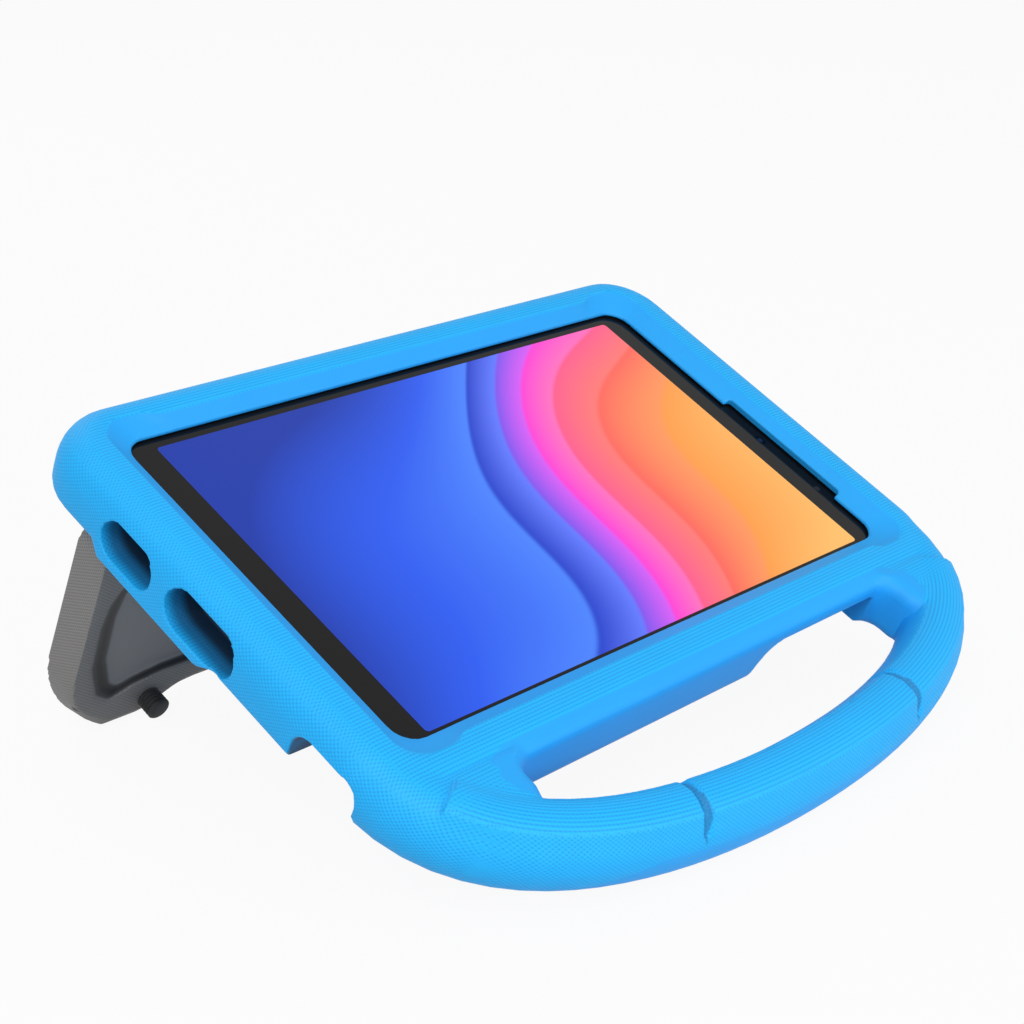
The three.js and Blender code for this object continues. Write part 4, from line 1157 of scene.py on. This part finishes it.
@dataclass
class Tablet:
    """The tablet in the case: lit screen, cover, buttons, sockets and inner pieces."""

    effects: Effects
    screen: ScreenFinish = ScreenFinish()
    shell: PlainFinish = PlainFinish("dark_plastic", linear(40, 41, 44), roughness=0.45, fine=6.0)
    steel: PlainFinish = PlainFinish("socket_steel", linear(186, 188, 192), roughness=0.3, metallic=1.0)
    alloy: PlainFinish = PlainFinish("frame_alloy", linear(168, 172, 178), 0.4, metallic=1.0, brushed=True)
    board: PlainFinish = PlainFinish("circuit_board", linear(30, 90, 60), roughness=0.5)
    foil: PlainFinish = PlainFinish("battery_foil", linear(140, 144, 149), roughness=0.45, metallic=0.6)
    panel: PlainFinish = PlainFinish("display_panel", linear(46, 108, 240), roughness=0.3)
    lens: PlainFinish = PlainFinish("camera_glass", linear(12, 13, 18), roughness=0.08, fine=1.0, depth=0.005)

    def dress(self) -> list[str]:
        """Gives the tablet's CAD pieces their finishes.

        Returns:
            The names of the dressed nodes.
        """
        looks = {name: self.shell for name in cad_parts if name.startswith("tablet_")}
        looks.update({
            "tablet_front_glass": self.screen,
            "tablet_display_panel": self.panel,
            "tablet_mid_frame": self.alloy,
            "tablet_battery": self.foil,
            "tablet_main_board": self.board,
            "tablet_port_board": self.board,
            "tablet_key_board": self.board,
            "tablet_usb_socket": self.steel,
            "tablet_rear_camera_glass": self.lens,
        })
        return dress_nodes(looks, self.effects)


def dress_nodes(looks: dict, effects: Effects) -> list[str]:
    """Gives CAD nodes their materials, building each finish once.

    Args:
        looks: The finish of each node, by the node's name.
        effects: The shared node groups.

    Returns:
        The names of the dressed nodes.
    """
    built = {finish.name: finish.build(effects) for finish in dict.fromkeys(looks.values())}
    for name, finish in looks.items():
        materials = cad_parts[name].data.materials
        materials.clear()
        materials.append(built[finish.name])
    return sorted(looks)


@dataclass(frozen=True)
class Lamp:
    """One square soft lamp, with its place and side in metres and its power in watts."""

    name: str
    place: tuple[float, float, float]
    size: float
    power: float


@dataclass
class Studio:
    """Pale floor, soft lights and the camera at the photograph's angle.

    The camera's place and directions are in the flat case's frame, in millimetres.
    """

    place: CasePlace
    eye: tuple[float, float, float] = (-369.95, -233.36, 309.49)
    right: tuple[float, float, float] = (0.68812, -0.65391, 0.31446)
    down: tuple[float, float, float] = (-0.24591, -0.61790, -0.74681)
    ahead: tuple[float, float, float] = (0.68265, 0.43657, -0.58600)
    lens: float = 69.71
    sensor: float = 36.0
    aim: tuple[float, float, float] = (0.0, 0.0, 0.04)
    ambient: float = 0.42
    floor_reach: float = 12.0
    floor_color: Color = (0.7, 0.7, 0.7, 1.0)
    floor_white: float = 0.93
    lamps: tuple[Lamp, ...] = (
        Lamp("key_lamp", (-1.1, -0.7, 1.1), 0.9, 14.0),
        Lamp("low_lamp", (0.2, -1.4, 0.3), 0.8, 9.0),
        Lamp("back_lamp", (0.2, 1.3, 1.0), 0.9, 4.0),
    )

    def camera(self) -> bpy.types.Object:
        """Places the camera.

        Returns:
            The camera's object.
        """
        data = bpy.data.cameras.new("camera")
        data.sensor_width = self.sensor
        data.lens = self.lens
        data.clip_start = 0.01
        turn = self.place.turn()
        axes = [turn @ Vector(self.right), -(turn @ Vector(self.down)), -(turn @ Vector(self.ahead))]
        camera = add_piece("camera", data)
        matrix = Matrix(axes).transposed().to_4x4()
        matrix.translation = turn @ Vector(self.eye) * MM + self.place.shift()
        camera.matrix_world = matrix
        bpy.context.scene.camera = camera
        return camera

    def hang(self, lamp: Lamp) -> None:
        """Hangs one soft lamp that shines at the case.

        Args:
            lamp: The lamp.
        """
        data = bpy.data.lights.new(lamp.name, "AREA")
        data.size = lamp.size
        data.energy = lamp.power
        light = add_piece(lamp.name, data)
        light.location = lamp.place
        light.rotation_euler = (Vector(self.aim) - Vector(lamp.place)).to_track_quat("-Z", "Y").to_euler()

    def floor(self) -> bpy.types.Object:
        """Lays the pale floor, which the camera sees as white with the shadow on it.

        Returns:
            The floor's object.
        """
        mesh = bpy.data.meshes.new("floor")
        reach = self.floor_reach
        corners = [(-reach, -reach, 0), (reach, -reach, 0), (reach, reach, 0), (-reach, reach, 0)]
        mesh.from_pydata(corners, [], [(0, 1, 2, 3)])
        floor = add_piece("floor", mesh)
        material = bpy.data.materials.new("pale_floor")
        material.use_nodes = True
        wiring = Wiring(material.node_tree)
        shader = material.node_tree.nodes["Principled BSDF"]
        shader.inputs["Base Color"].default_value = self.floor_color
        shader.inputs["Roughness"].default_value = 0.9
        shader.inputs["Specular IOR Level"].default_value = 0.0
        glow = wiring.add("ShaderNodeEmission")
        path = wiring.add("ShaderNodeLightPath")
        mix = wiring.add("ShaderNodeMixShader")
        seen = wiring.maths("MULTIPLY", self.seen_directly(wiring, path), self.floor_white)
        wiring.plug(mix.inputs[0], seen)
        wiring.plug(mix.inputs[1], shader.outputs[0])
        wiring.plug(mix.inputs[2], glow.outputs[0])
        wiring.plug(material.node_tree.nodes["Material Output"].inputs[0], mix.outputs[0])
        mesh.materials.append(material)
        return floor

    def sky(self) -> None:
        """Sets the even white light from all round."""
        world = bpy.data.worlds.new("studio")
        bpy.context.scene.world = world
        world.use_nodes = True
        wiring = Wiring(world.node_tree)
        background = world.node_tree.nodes["Background"]
        path = wiring.add("ShaderNodeLightPath")
        strength = wiring.maths("MAXIMUM", self.seen_directly(wiring, path), self.ambient)
        wiring.plug(background.inputs["Strength"], strength)
        background.inputs["Color"].default_value = (1, 1, 1, 1)

    def seen_directly(self, wiring: Wiring, path: bpy.types.Node) -> bpy.types.NodeSocket:
        """Returns 1 where the camera looks straight, by reflection or through glass, and 0 elsewhere."""
        mirrored = wiring.maths("MAXIMUM", path.outputs["Is Glossy Ray"], path.outputs["Is Transmission Ray"])
        return wiring.maths("MAXIMUM", path.outputs["Is Camera Ray"], mirrored)

    def build(self) -> None:
        """Sets up the camera, lights and floor."""
        self.camera()
        self.sky()
        for lamp in self.lamps:
            self.hang(lamp)
        self.floor()
        bpy.context.scene.view_settings.view_transform = "Standard"


def main() -> None:
    """Builds the whole scene, one sub-assembly after another."""
    place = CasePlace()
    Studio(place).build()
    effects = Effects(place)
    shell = FoamShell(place, effects).build()
    log.info("foam shell: %d faces", len(shell.data.polygons))
    for piece in FoldingStand(place, effects).build():
        log.info("%s: %d faces", piece.name, len(piece.data.polygons))
    log.info("fastening: %s", StandFastening(effects).dress())
    log.info("tablet: %s", Tablet(effects).dress())


if __name__ == "__main__":
    main()
